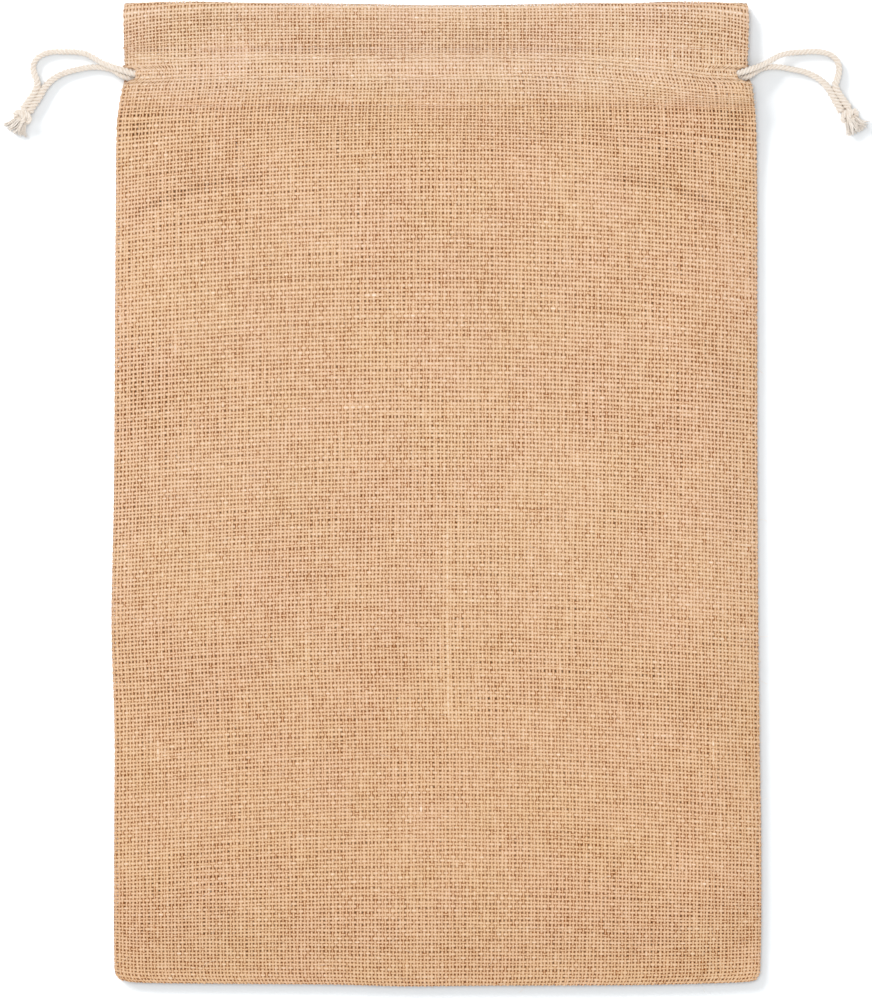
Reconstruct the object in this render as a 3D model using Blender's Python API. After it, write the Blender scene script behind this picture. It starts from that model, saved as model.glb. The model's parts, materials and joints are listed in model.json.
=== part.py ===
"""A drawstring sack of plain-woven jute, lying flat, with two twisted cotton drawcords.

The frame is in metres with +Z up: the sack lies on the plane z = 0, its mouth towards +Y and its
width along X, and the origin is under the middle of the sack. Sizes below are in millimetres and
become metres where a mesh is made.

The front and the back are each one cut of cloth whose top end is turned in and stitched down, so
that a casing runs across it. Each cord enters at one side, runs through the front casing, turns
back at the far side through the back casing, and leaves where it came in. Its two ends are knotted
together and fray out past the knot.
"""

import math

import bmesh
import bpy
from mathutils import Matrix, Vector

MM = 0.001

# Cloth and cord
CLOTH = 1.0
GAP = 0.3
SLACK = 0.1  # a little more room where plies aren't pressed together
CORD = 2.8
CORD_VALLEY = 1.12  # radius between two plies of the twisted cord
CORD_LAY = 6.4  # length of one full turn of the twist
PLY_PITCH = CLOTH + GAP  # between the middles of two plies that lie together

# The sack's outline, on smooth curves through these rows
BOTTOM, TOP = -229.1, 229.1
SIDE_OUTLINE = (  # height along the sack, left edge, right edge
    (-229.1, -145.4, 147.0),
    (-226.6, -148.2, 149.6),
    (-222.5, -149.2, 150.9),
    (-170.0, -149.5, 150.9),
    (-110.0, -149.1, 150.1),
    (-62.0, -150.8, 149.9),
    (0.0, -149.4, 149.1),
    (60.0, -149.1, 149.1),
    (140.0, -148.6, 149.0),
    (172.0, -148.2, 148.5),
    (184.0, -146.6, 147.4),
    (191.0, -145.1, 145.6),
    (196.0, -144.5, 144.6),
    (224.0, -145.0, 145.2),
    (229.1, -144.4, 144.0),
)
END_OUTLINE = (  # place across the sack, rise of the bottom edge, drop of the top edge
    (-149.0, 4.2, 1.4),
    (-139.0, 2.4, 0.5),
    (-95.0, 1.4, 0.4),
    (-45.0, 0.9, 1.3),
    (-15.0, 0.2, 2.0),
    (22.0, 0.4, 2.6),
    (60.0, 0.6, 1.4),
    (100.0, 0.9, 0.4),
    (140.0, 2.0, 0.0),
    (149.0, 4.4, 1.5),
)
BOTTOM_REACH, TOP_REACH = 40.0, 26.0  # how far in from each end its outline is felt

# Heights of the cloth's middle surface
FLOOR_PLY = CLOTH / 2
BACK_EDGE_LIFT, LIFT_REACH = 0.7, 6.0
BODY_SEAM = 2.6  # the front's edge over the back's
HEM_SEAM = FLOOR_PLY + 3 * PLY_PITCH + GAP  # the front's outer ply over three others
HEM_INNER = HEM_SEAM - PLY_PITCH - SLACK
CROWN = 12.4
MOUTH = 10.9  # the front's inner ply at mid-width
SIDE_REACH, HEM_REACH, BOTTOM_SWELL = 30.0, 46.0, 48.0
FRONT_BLEND, BACK_BLEND = 140.0, 150.0  # heights along the sack above which the body nears the hem

# The hem, as heights along the sack
HEM_STITCH = 180.6
CASING_STITCH = 207.2
HEM_RAW_EDGE = 177.4
RIDGE = CORD + 2 * GAP + CLOTH + SLACK / 2  # between the middles of two plies with a cord between them
RIDGE_FLANK = 3.3
CREST_REACH, FLANK_REACH = 1.3, 2.8
RIDGE_PROFILE = (  # distance from a cord run, spacing of the two plies there
    (-FLANK_REACH, RIDGE_FLANK),
    (-CREST_REACH, RIDGE),
    (CREST_REACH, RIDGE),
    (FLANK_REACH, RIDGE_FLANK),
)
LOWER_DIP, LOWER_DIP_SHARE = 3.0, 0.78  # spacing beside the lower run, and how near the run it lies
UPPER_DIP, UPPER_DIP_SHARE = 2.4, 0.7
CASING_INNER = FLOOR_PLY + RIDGE + PLY_PITCH + SLACK  # the front's inner ply at the casing's ends
CASING_INSET = 9.0  # the inner plies stop short of the side seam where the cords turn
SLIT_INSET = 5.3  # the outer ply is drawn back where a cord leaves
CASING_ROLL, ROLL_FULLNESS = 8.0, 0.55
CASING_MIDDLE = 194.0
INNER_ROWS = (204.0, 195.0, 185.0)  # heights of the inner ply's rows behind the casing
LIP_ROWS = (214.0, 222.0)
FOLD_RADIUS = PLY_PITCH / 2
FOLD_ANGLES = (-90.0, -45.0, 0.0, 45.0, 90.0)

# Where each pair of cord runs lies in the casings: place across the sack, lower run, upper run
RUNS = (
    (-139.0, 194.4, 202.3),
    (-110.0, 193.3, 202.0),
    (-40.0, 193.0, 201.8),
    (62.0, 193.2, 201.5),
    (126.0, 186.4, 194.6),
    (139.0, 186.2, 194.4),
)
RUN_END, RUN_MARGIN = 139.0, 4.0
TURN_CENTRE = 8.6  # middle of a cord's turn, in from the side seam

# Distances from a side seam and from the bottom seam at which the cloth has a row of points
SIDE_STATIONS = (0.0, 2.0, 5.0, 9.0, 16.0, 28.0, 52.0, 84.0, 116.0)
BLEND_STATION = 28.0  # past this a drawn-back edge no longer shifts the stations
BOTTOM_STATIONS = (0.0, 2.0, 6.0, 13.0, 23.0, 35.0, 48.0)
BODY_ROWS = 8
BACK_ROWS = 5
UPPER_BODY = (110.0, 128.0, 143.0, 156.0, 167.0, 175.0)

# Soft troughs in the front: from x, from y, to x, to y, how far its middle bows up, depth, half-width
TROUGHS = (
    (-138.0, 130.0, -90.0, 147.0, 3.0, 1.0, 8.0),
    (90.0, 147.0, 139.0, 130.0, 3.0, 1.0, 8.0),
    (-90.0, 100.0, 28.0, 98.0, 2.0, 0.6, 12.0),
)
WAVES = (  # height, length across, length along, phase
    (0.32, 260.0, 210.0, 0.6),
    (0.22, 150.0, 330.0, 2.3),
)
LIP_WAVE, LIP_WAVE_LENGTH, LIP_WAVE_PHASE = 0.35, 118.0, 0.7

# The loose strands of each cord, from its slit to its knot
LEFT_OVER = (
    (-139.0, 195.3, 8.0),
    (-144.5, 197.0, 6.5),
    (-150.6, 199.1, 4.9),
    (-155.4, 201.0, 3.8),
    (-159.2, 203.3, 2.8),
    (-163.0, 205.3, 2.0),
    (-167.8, 206.2, 1.5),
    (-173.5, 206.3, 1.42),
    (-178.2, 206.3, 1.42),
    (-182.6, 205.3, 1.42),
    (-186.0, 203.1, 1.42),
    (-187.6, 199.9, 1.42),
    (-187.4, 196.6, 1.42),
    (-186.2, 193.5, 1.42),
    (-185.7, 190.4, 1.42),
    (-186.9, 187.3, 1.42),
    (-188.6, 184.6, 1.5),
    (-190.4, 181.9, 1.9),
    (-192.3, 179.4, 2.4),
)
LEFT_UNDER = (
    (-139.0, 193.4, 2.75),
    (-142.0, 193.8, 4.3),
    (-144.8, 194.5, 3.95),
    (-147.4, 195.9, 2.85),
    (-149.9, 197.5, 1.85),
    (-152.6, 198.4, 1.5),
    (-156.4, 199.0, 1.42),
    (-161.6, 199.0, 1.42),
    (-167.5, 197.9, 1.42),
    (-173.3, 196.3, 1.42),
    (-177.6, 194.1, 1.42),
    (-180.8, 191.4, 1.42),
    (-183.0, 188.6, 1.42),
    (-184.4, 186.0, 1.42),
    (-186.1, 183.4, 1.5),
    (-187.9, 180.9, 1.9),
    (-189.5, 178.1, 2.4),
)
RIGHT_OVER = (
    (139.0, 195.3, 8.0),
    (145.0, 197.2, 6.5),
    (151.0, 199.4, 4.9),
    (155.4, 201.6, 3.8),
    (158.7, 203.7, 2.8),
    (162.4, 205.2, 2.0),
    (166.6, 205.9, 1.5),
    (171.4, 206.2, 1.42),
    (176.2, 206.4, 1.42),
    (180.6, 206.1, 1.42),
    (184.4, 204.8, 1.42),
    (187.2, 202.2, 1.42),
    (188.2, 199.0, 1.42),
    (188.0, 196.0, 1.42),
    (187.2, 193.2, 1.42),
    (186.4, 190.5, 1.42),
    (187.5, 187.6, 1.42),
    (189.2, 184.8, 1.5),
    (191.0, 182.2, 1.9),
    (192.8, 179.85, 2.4),
)
RIGHT_UNDER = (
    (139.0, 193.4, 2.75),
    (142.2, 193.8, 4.3),
    (145.2, 194.6, 3.95),
    (147.8, 196.1, 2.85),
    (150.3, 197.7, 1.85),
    (152.8, 198.7, 1.5),
    (156.6, 199.2, 1.42),
    (161.4, 199.0, 1.42),
    (166.8, 198.0, 1.42),
    (172.0, 196.9, 1.42),
    (176.8, 194.8, 1.42),
    (180.4, 192.3, 1.42),
    (183.0, 189.5, 1.42),
    (184.8, 186.7, 1.42),
    (186.3, 183.9, 1.5),
    (187.8, 181.3, 1.9),
    (189.25, 178.2, 2.4),
)
STRAND_TURN_STEP = math.radians(60.0)  # of the twist, from one ring of a loose strand to the next
HALF_TURN_STEPS = 6

# Each knot, and the fan of frayed yarns past it
KNOT_HALF = (4.8, 3.0, 3.1)
KNOT_CELLS = 7
LEFT_KNOT, RIGHT_KNOT = (-192.4, 176.2), (192.9, 176.6)
KNOT_SLANT = math.radians(-25.0)
KNOT_FLAT = 0.05  # how much of its lower side is flattened
KNOT_GROOVE, GROOVE_WIDTH, GROOVE_LEAN = 0.55, 1.2, 0.45
FRAY_COLUMNS, FRAY_ROWS = 5, 4
FRAY_LENGTH, FRAY_UNEVEN = 6.6, 0.05  # and the share by which each yarn is shorter than the longest
FRAY_SPREAD, FRAY_TURN = math.radians(44.0), math.radians(-8.0)
FRAY_YARN, FRAY_STAND = 0.46, 0.05
FRAY_LAYER, FRAY_LOWEST, FRAY_FALL = 0.62, 0.55, 1.25  # pitch, lowest row in layers, quickness of the drop
FRAY_STEPS = (0.3, 0.65, 1.0)


def mix(a, b, t):
    return a + (b - a) * t


def within(t):
    return min(max(t, 0.0), 1.0)


def eased(t):
    t = within(t)
    return t * t * (3.0 - 2.0 * t)


def swell(distance, reach):
    """From 0 at a seam to 1 at `reach` in from it, as loose cloth rises."""
    return math.sin(0.5 * math.pi * within(distance / reach))


def read_table(table, at, column):
    """A column's value at a place in the first column, on a smooth curve through the rows."""
    last = len(table) - 1
    at = min(max(at, table[0][0]), table[last][0])
    k = 0
    while k < last - 1 and at > table[k + 1][0]:
        k += 1
    before, here, there, after = (table[min(max(k + i, 0), last)] for i in (-1, 0, 1, 2))
    span = there[0] - here[0]
    t = (at - here[0]) / span
    slope_in = (there[column] - before[column]) / (there[0] - before[0]) * span
    slope_out = (after[column] - here[column]) / (after[0] - here[0]) * span
    bend = 2 * (here[column] - there[column]) + slope_in + slope_out
    turn = 3 * (there[column] - here[column]) - 2 * slope_in - slope_out
    return here[column] + t * (slope_in + t * (turn + t * bend))


def left_edge(along):
    return read_table(SIDE_OUTLINE, along, 1)


def right_edge(along):
    return read_table(SIDE_OUTLINE, along, 2)


def ends_shift(x, along):
    """How far the curved bottom and top edges move a point at this height along the sack."""
    rise = read_table(END_OUTLINE, x, 1) * within(1.0 - (along - BOTTOM) / BOTTOM_REACH)
    drop = read_table(END_OUTLINE, x, 2) * within(1.0 - (TOP - along) / TOP_REACH)
    return rise - drop


def lower_run(x):
    return read_table(RUNS, x, 1)


def upper_run(x):
    return read_table(RUNS, x, 2)


def seam_distance(x, along):
    return max(0.0, min(x - left_edge(along), right_edge(along) - x))


def trough(x, y):
    """How deep the soft creases of the front are at a point."""
    depth = 0.0
    for x0, y0, x1, y1, bow, deep, half in TROUGHS:
        t = (x - x0) / (x1 - x0)
        middle = mix(y0, y1, t) + 4.0 * bow * t * (1.0 - t)
        depth += deep * eased(1.0 - abs(y - middle) / half) * eased(4.0 * t) * eased(4.0 - 4.0 * t)
    return depth


def waves(x, y):
    """Low unevenness of the front."""
    total = 0.0
    for height, across, along, phase in WAVES:
        total += height * math.sin(2 * math.pi * (x / across + y / along) + phase)
    return total


def lip_wave(x, along):
    """The slight waves of the mouth's edge, above its casing."""
    share = eased((along - CASING_STITCH) / (TOP - CASING_STITCH))
    return LIP_WAVE * share * math.sin(2 * math.pi * x / LIP_WAVE_LENGTH + LIP_WAVE_PHASE)


def front_inner(x, along, in_casing):
    """Height of the front's inner ply, which stands clear of the back so that the mouth is open."""
    distance = seam_distance(x, along)
    if in_casing:
        side, distance = CASING_INNER, max(0.0, distance - CASING_INSET)
        reach = HEM_REACH - CASING_INSET
    else:
        side, reach = HEM_INNER, HEM_REACH
    return mix(side, MOUTH, swell(distance, reach)) + lip_wave(x, along)


def front_hem(x, along, spacing, in_casing):
    """Height of the front's outer ply in the hem, that far above the inner ply."""
    distance = seam_distance(x, along)
    over = front_inner(x, along, in_casing) + spacing
    if not in_casing:
        return over
    return mix(HEM_SEAM, over, swell(distance, CASING_ROLL) ** ROLL_FULLNESS)


def front_body(x, along):
    """Height of the front below its hem."""
    hem_share = eased((along - FRONT_BLEND) / (HEM_STITCH - FRONT_BLEND))
    seam = mix(BODY_SEAM, HEM_SEAM, hem_share)
    crown = mix(CROWN + waves(x, along) - trough(x, along), MOUTH + PLY_PITCH, hem_share)
    side = swell(seam_distance(x, along), mix(SIDE_REACH, HEM_REACH, hem_share))
    return mix(seam, crown, side * swell(along - BOTTOM, BOTTOM_SWELL))


def back_body(x, along):
    """Height of the back's outer ply: flat on the floor, and lifted a little at its seams."""
    share = eased((along - BACK_BLEND) / (HEM_STITCH - BACK_BLEND))
    distance = min(seam_distance(x, along), along - BOTTOM)
    return FLOOR_PLY + BACK_EDGE_LIFT * (1.0 - share) * (1.0 - eased(distance / LIFT_REACH))


def stations(along, left_inset, right_inset):
    """The places across the sack where a row has its points."""
    left, right = [], []
    for d in SIDE_STATIONS:
        near = max(0.0, 1.0 - d / BLEND_STATION)
        left.append(left_edge(along) + d + left_inset * near)
        right.append(right_edge(along) - d - right_inset * near)
    return left + [0.0] + right[::-1]


class Row:
    """One row of points across the cloth.

    `line` gives the row's height along the sack at a place across it, and `height` its height above
    the floor there. The insets draw its ends back from the side seams.
    """

    def __init__(self, line, height, left_inset=0.0, right_inset=0.0):
        self.line = line
        self.height = height
        self.insets = (left_inset, right_inset)

    def points(self):
        result = []
        for x in stations(self.line(0.0), *self.insets):
            along = self.line(x)
            z = self.height(x, along)
            result.append(Vector((x, along + ends_shift(x, along), z)) * MM)
        return result


def level(along):
    return lambda x: along


def beside(run, offset):
    return lambda x: run(x) + offset


def between(line_a, line_b, share):
    return lambda x: mix(line_a(x), line_b(x), share)


def body_rows(height, middle_rows):
    """Rows from the bottom seam up to the hem's stitch line."""
    rows = [Row(level(BOTTOM + d), height) for d in BOTTOM_STATIONS]
    first, last = BOTTOM + BOTTOM_STATIONS[-1], UPPER_BODY[0]
    for i in range(1, middle_rows):
        rows.append(Row(level(mix(first, last, i / middle_rows)), height))
    return rows + [Row(level(along), height) for along in UPPER_BODY]


def casing_rows(height_over, slits):
    """Rows over the two cord runs, from the lower stitch line to the upper one.

    `height_over` turns a spacing from the other ply into a row's height, and `slits` says whether
    the side edges are drawn back only where a cord leaves, the left one in the lower run and the
    right one in the upper run.
    """
    plain = 0.0 if slits else CASING_INSET
    at_exit = SLIT_INSET if slits else CASING_INSET
    below = between(level(HEM_STITCH), beside(lower_run, -FLANK_REACH), LOWER_DIP_SHARE)
    above = between(level(CASING_STITCH), beside(upper_run, FLANK_REACH), UPPER_DIP_SHARE)
    rows = [Row(below, height_over(LOWER_DIP), plain, plain)]
    for offset, spacing in RIDGE_PROFILE:
        rows.append(Row(beside(lower_run, offset), height_over(spacing), at_exit, plain))
    for offset, spacing in RIDGE_PROFILE:
        rows.append(Row(beside(upper_run, offset), height_over(spacing), plain, at_exit))
    rows.append(Row(above, height_over(UPPER_DIP), plain, plain))
    return rows


def fold_rows(lower, upper):
    """The turn of the cloth at the mouth's edge, from the outer ply's height to the inner ply's."""
    rows = []
    for angle in FOLD_ANGLES:
        out = TOP - CLOTH / 2 - FOLD_RADIUS * (1.0 - math.cos(math.radians(angle)))
        share = 0.5 + 0.5 * math.sin(math.radians(angle))
        rows.append(Row(level(out), lambda x, along, s=share: mix(lower(x, along), upper(x, along), s)))
    return rows


def front_rows():
    """The front, from its bottom seam over the casing and the mouth's edge to the hem's raw edge."""

    def inner(x, along):
        return front_inner(x, along, False)

    def inner_casing(x, along):
        return front_inner(x, along, True)

    def outer(x, along):
        return front_inner(x, along, False) + PLY_PITCH

    def over(spacing):
        return lambda x, along: front_hem(x, along, spacing, True)

    rows = body_rows(front_body, BODY_ROWS)
    rows.append(Row(level(HEM_STITCH), outer))
    rows += casing_rows(over, True)
    rows += [Row(level(along), outer) for along in (CASING_STITCH, *LIP_ROWS)]
    rows += fold_rows(outer, inner)
    rows += [Row(level(along), inner) for along in (*LIP_ROWS[::-1], CASING_STITCH)]
    for along in INNER_ROWS:
        rows.append(Row(level(along), inner_casing, CASING_INSET, CASING_INSET))
    rows += [Row(level(along), inner) for along in (HEM_STITCH, HEM_RAW_EDGE)]
    return rows


def back_rows():
    """The back, laid like the front but with its casing's ridges facing up, into the mouth."""

    def inner(x, along):
        return FLOOR_PLY + PLY_PITCH

    def over(spacing):
        return lambda x, along: FLOOR_PLY + spacing

    rows = body_rows(back_body, BACK_ROWS)
    for along in (HEM_STITCH, CASING_MIDDLE, CASING_STITCH, LIP_ROWS[-1]):
        rows.append(Row(level(along), back_body))
    rows += fold_rows(back_body, inner)
    rows += [Row(level(along), inner) for along in (LIP_ROWS[-1], CASING_STITCH)]
    rows += casing_rows(over, False)[::-1]
    rows += [Row(level(along), inner) for along in (HEM_STITCH, HEM_RAW_EDGE)]
    return rows


def finish_material(name, colour, roughness):
    material = bpy.data.materials.new(name)
    material.use_nodes = True
    shader = material.node_tree.nodes["Principled BSDF"]
    shader.inputs["Base Color"].default_value = (*colour, 1.0)
    shader.inputs["Roughness"].default_value = roughness
    shader.inputs["Metallic"].default_value = 0.0
    return material


def add_object(name, mesh, material):
    mesh.materials.append(material)
    made = bpy.data.objects.new(name, mesh)
    bpy.context.scene.collection.objects.link(made)
    return made


def cloth_panel(name, rows, material):
    """A sheet through the rows' points, thickened about its middle surface."""
    grid = [row.points() for row in rows]
    across = len(grid[0])
    mesh = bpy.data.meshes.new(name)
    faces = []
    for r in range(len(grid) - 1):
        for c in range(across - 1):
            corner = r * across + c
            faces.append((corner, corner + 1, corner + across + 1, corner + across))
    mesh.from_pydata([p for row in grid for p in row], [], faces)
    mesh.shade_smooth()
    panel = add_object(name, mesh, material)
    thicken = panel.modifiers.new("Cloth thickness", "SOLIDIFY")
    thicken.thickness = CLOTH * MM
    thicken.offset = 0.0
    thicken.use_even_offset = True
    thicken.use_quality_normals = True
    return panel


def smooth_route(points, step):
    """Points about `step` apart on a smooth curve through the given ones."""
    result = []
    last = len(points) - 1
    for k in range(last):
        before, here, there, after = (Vector(points[min(max(k + i, 0), last)]) for i in (-1, 0, 1, 2))
        pieces = max(1, round((there - here).length / step))
        for i in range(pieces):
            t = i / pieces
            tangent_in, tangent_out = (there - before) / 2, (after - here) / 2
            bend = 2 * (here - there) + tangent_in + tangent_out
            turn = 3 * (there - here) - 2 * tangent_in - tangent_out
            result.append(here + t * (tangent_in + t * (turn + t * bend)))
    return result + [Vector(points[last])]


def casing_run(run, height, start):
    """A cord's points along one casing, at the cloth's stations, from the side `start` to the other."""
    places = stations(run(0.0), CASING_INSET, CASING_INSET)
    places = [x for x in places if abs(x) < RUN_END - RUN_MARGIN]
    if start > 0:
        places = places[::-1]
    return [Vector((x, run(x), height(x, run(x)))) for x in places]


def drawcord_route(side, run, over, under):
    """A drawcord's centreline from its knot, through both casings and back to the knot.

    `side` is -1 for the cord that leaves at the left and 1 for the right one. Each point comes with
    a flag that says whether the twist shows there.
    """
    step = CORD_LAY * STRAND_TURN_STEP / (2 * math.pi)

    def front_height(x, along):
        return front_inner(x, along, True) + CLOTH / 2 + GAP + CORD / 2

    def back_height(x, along):
        return FLOOR_PLY + CLOTH / 2 + GAP + CORD / 2

    loose_in = smooth_route(over[::-1], step)
    loose_out = smooth_route(under, step)
    forth = casing_run(run, front_height, side)
    back = casing_run(run, back_height, -side)
    far = -side * RUN_END
    edge = left_edge(run(far)) + TURN_CENTRE if far < 0 else right_edge(run(far)) - TURN_CENTRE
    top, low = front_height(edge, run(far)), back_height(edge, run(far))
    middle, radius = (top + low) / 2, (top - low) / 2
    turn = []
    for i in range(HALF_TURN_STEPS + 1):
        angle = math.pi * i / HALF_TURN_STEPS
        out = edge - side * radius * math.sin(angle)
        turn.append(Vector((out, run(far), middle + radius * math.cos(angle))))
    held = forth + turn + back
    return [(p, True) for p in loose_in] + [(p, False) for p in held] + [(p, True) for p in loose_out]


def ring_frames(points):
    """A normal and a binormal at each point, carried along without spin."""
    frames = []
    normal = None
    for k, point in enumerate(points):
        tangent = (points[min(k + 1, len(points) - 1)] - points[max(k - 1, 0)]).normalized()
        if normal is None:
            normal = tangent.orthogonal().normalized()
        normal = (normal - tangent * normal.dot(tangent)).normalized()
        frames.append((normal, tangent.cross(normal)))
    return frames


def cord_solid(name, route, material):
    """A three-ply cord: its rings have three crests and three valleys, which turn where it shows."""
    points = [p for p, twisted in route]
    frames = ring_frames(points)
    shape = bmesh.new()
    rings = []
    turn = 0.0
    for k, (point, twisted) in enumerate(route):
        if k and twisted and route[k - 1][1]:
            turn += 2 * math.pi * (point - points[k - 1]).length / CORD_LAY
        normal, binormal = frames[k]
        ring = []
        for corner in range(6):
            radius = CORD_VALLEY if corner % 2 and twisted else CORD / 2
            angle = turn + corner * math.pi / 3
            offset = normal * math.cos(angle) + binormal * math.sin(angle)
            ring.append(shape.verts.new((point + offset * radius) * MM))
        rings.append(ring)
    for one, other in zip(rings, rings[1:]):
        for corner in range(6):
            after = (corner + 1) % 6
            shape.faces.new((one[corner], one[after], other[after], other[corner]))
    shape.faces.new(rings[0][::-1])
    shape.faces.new(rings[-1])
    return mesh_object(name, shape, material)


def mesh_object(name, shape, material):
    bmesh.ops.recalc_face_normals(shape, faces=shape.faces)
    mesh = bpy.data.meshes.new(name)
    shape.to_mesh(mesh)
    shape.free()
    mesh.shade_smooth()
    return add_object(name, mesh, material)


def knot_point(unit):
    """A point of the knot in its own axes, from a point on a ball of radius 1.

    X runs across the two lobes and -Y towards the fray. The groove between the lobes leans over.
    """
    width, length, height = KNOT_HALF
    point = Vector((unit.x * width, unit.y * length, unit.z * height))
    off_groove = (point.x - GROOVE_LEAN * point.z) / GROOVE_WIDTH
    point -= unit * KNOT_GROOVE * math.exp(-off_groove * off_groove)
    point.z = max(point.z, KNOT_FLAT - height)
    return point


def fray_path(column, row, start):
    """Where a frayed yarn goes from its root, in the knot's axes: out, fanned, and down to rest."""
    fan = (column / (FRAY_COLUMNS - 1) - 0.5) * FRAY_SPREAD + FRAY_TURN
    length = FRAY_LENGTH * (1.0 - FRAY_UNEVEN * ((column * 3 + row * 5) % 4))
    rest = FRAY_LAYER * (row + FRAY_LOWEST) - KNOT_HALF[2]
    path = []
    for share in FRAY_STEPS:
        reach = length * share
        drop = mix(start.z, rest, eased(share * FRAY_FALL))
        out = KNOT_HALF[1] + math.cos(fan) * reach
        path.append(Vector((start.x + math.sin(fan) * reach, -out, drop)))
    return path


def knot_solid(name, centre, mirror, material):
    """The knot with its frayed yarns drawn out of its lower side, as one body."""
    shape = bmesh.new()
    bmesh.ops.create_cube(shape, size=2.0)
    bmesh.ops.subdivide_edges(shape, edges=shape.edges, cuts=KNOT_CELLS - 1, use_grid_fill=True)
    fray_faces = []
    for face in shape.faces:
        middle = face.calc_center_median()
        if middle.y < -0.999:
            column = int((middle.x + 1.0) / 2.0 * KNOT_CELLS) - (KNOT_CELLS - FRAY_COLUMNS) // 2
            row = int((middle.z + 1.0) / 2.0 * KNOT_CELLS) - (KNOT_CELLS - FRAY_ROWS) // 2
            if 0 <= column < FRAY_COLUMNS and 0 <= row < FRAY_ROWS:
                fray_faces.append((face, column, row))
    for vert in shape.verts:
        vert.co = knot_point(vert.co.normalized())
    for face, column, row in fray_faces:
        root = face.calc_center_median()
        root.y = min(vert.co.y for vert in face.verts) - FRAY_STAND
        bmesh.ops.inset_individual(shape, faces=[face], thickness=FRAY_YARN / 4)
        for vert in face.verts:
            off = vert.co - root
            vert.co.x = root.x + math.copysign(FRAY_YARN / 2, off.x)
            vert.co.y = root.y
            vert.co.z = root.z + math.copysign(FRAY_YARN / 2, off.z)
        before = root
        for stop in fray_path(column, row, root):
            made = bmesh.ops.extrude_discrete_faces(shape, faces=[face])
            face = made["faces"][0]
            bmesh.ops.translate(shape, verts=face.verts, vec=stop - before)
            before = stop
    place = Matrix.Translation((centre[0], centre[1], KNOT_HALF[2]))
    turned = Matrix.Rotation(KNOT_SLANT, 4, "Z")
    flip = Matrix.Diagonal((-1.0 if mirror else 1.0, 1.0, 1.0, 1.0))
    bmesh.ops.transform(shape, matrix=Matrix.Scale(MM, 4) @ place @ flip @ turned, verts=shape.verts)
    return mesh_object(name, shape, material)


def clear_scene():
    for thing in list(bpy.data.objects):
        bpy.data.objects.remove(thing, do_unlink=True)


def build():
    clear_scene()
    jute = finish_material("jute_cloth", (0.68, 0.43, 0.25), 0.9)
    cotton = finish_material("cotton_cord", (0.83, 0.77, 0.68), 0.85)
    cloth_panel("front_panel", front_rows(), jute)
    cloth_panel("back_panel", back_rows(), jute)
    cord_solid("left_cord", drawcord_route(-1, lower_run, LEFT_OVER, LEFT_UNDER), cotton)
    cord_solid("right_cord", drawcord_route(1, upper_run, RIGHT_OVER, RIGHT_UNDER), cotton)
    knot_solid("left_knot", LEFT_KNOT, False, cotton)
    knot_solid("right_knot", RIGHT_KNOT, True, cotton)


build()
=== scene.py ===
"""The looks of a drawstring sack of plain-woven jute, lying flat, with two twisted cotton drawcords.

The solids are loaded as a fixed frame in metres. Over them this file lays the cloth yarn by yarn,
the cords ply by ply, the knots with their fray, the sewing, and the loose fibres. Sizes of the cloth
below are in millimetres, as in the part's source, and become metres where a mesh is made.
"""

import json
import math

import bpy
import numpy as np
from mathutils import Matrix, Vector

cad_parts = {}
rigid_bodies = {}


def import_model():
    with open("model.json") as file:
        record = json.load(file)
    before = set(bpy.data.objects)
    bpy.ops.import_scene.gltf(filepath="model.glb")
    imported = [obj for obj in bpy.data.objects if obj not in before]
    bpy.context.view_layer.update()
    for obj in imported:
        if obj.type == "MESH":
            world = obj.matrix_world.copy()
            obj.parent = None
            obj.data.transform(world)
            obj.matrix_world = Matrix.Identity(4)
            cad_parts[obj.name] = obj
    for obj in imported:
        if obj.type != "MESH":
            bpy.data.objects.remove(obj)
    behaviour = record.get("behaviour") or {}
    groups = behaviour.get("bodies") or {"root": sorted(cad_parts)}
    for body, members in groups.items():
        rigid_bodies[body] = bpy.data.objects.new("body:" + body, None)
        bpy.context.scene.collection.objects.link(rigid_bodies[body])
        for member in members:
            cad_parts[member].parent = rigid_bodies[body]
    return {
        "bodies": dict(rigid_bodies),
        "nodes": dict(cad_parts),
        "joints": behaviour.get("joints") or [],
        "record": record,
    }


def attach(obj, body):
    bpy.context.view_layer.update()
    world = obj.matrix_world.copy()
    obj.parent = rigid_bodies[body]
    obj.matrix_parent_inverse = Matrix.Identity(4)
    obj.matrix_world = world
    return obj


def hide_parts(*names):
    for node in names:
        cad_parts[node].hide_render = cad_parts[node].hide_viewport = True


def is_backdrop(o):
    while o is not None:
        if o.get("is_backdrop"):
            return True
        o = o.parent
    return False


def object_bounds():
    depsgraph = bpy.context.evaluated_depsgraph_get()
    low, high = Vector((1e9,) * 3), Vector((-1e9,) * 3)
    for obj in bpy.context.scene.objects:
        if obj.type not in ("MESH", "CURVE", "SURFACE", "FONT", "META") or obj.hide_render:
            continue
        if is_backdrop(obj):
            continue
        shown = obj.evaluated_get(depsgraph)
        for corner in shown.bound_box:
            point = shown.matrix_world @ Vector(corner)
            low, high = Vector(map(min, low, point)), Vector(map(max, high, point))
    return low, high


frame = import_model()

bl_info = {
    "name": "Jute drawstring sack",
    "version": (1, 0, 0),
    "blender": (4, 5, 0),
    "location": "View3D > Sidebar > Jute sack",
    "description": "Weaves, sews and lays out a jute drawstring sack over its solids",
    "category": "Object",
}

MM = 0.001
BODY = "root"
CORD_SEED, FRONT_SEED, BACK_SEED, FIBRE_SEED = 40, 11, 23, 7

# The picture: its size, how many millimetres a pixel spans, and the point at its middle
PICTURE = (872, 1000)
PIXEL = 0.46667
PICTURE_MIDDLE = (0.2, -2.8)
EYE_HEIGHT = 3000.0
SENSOR = 36.0
SEEN_TO = 100.0

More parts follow.
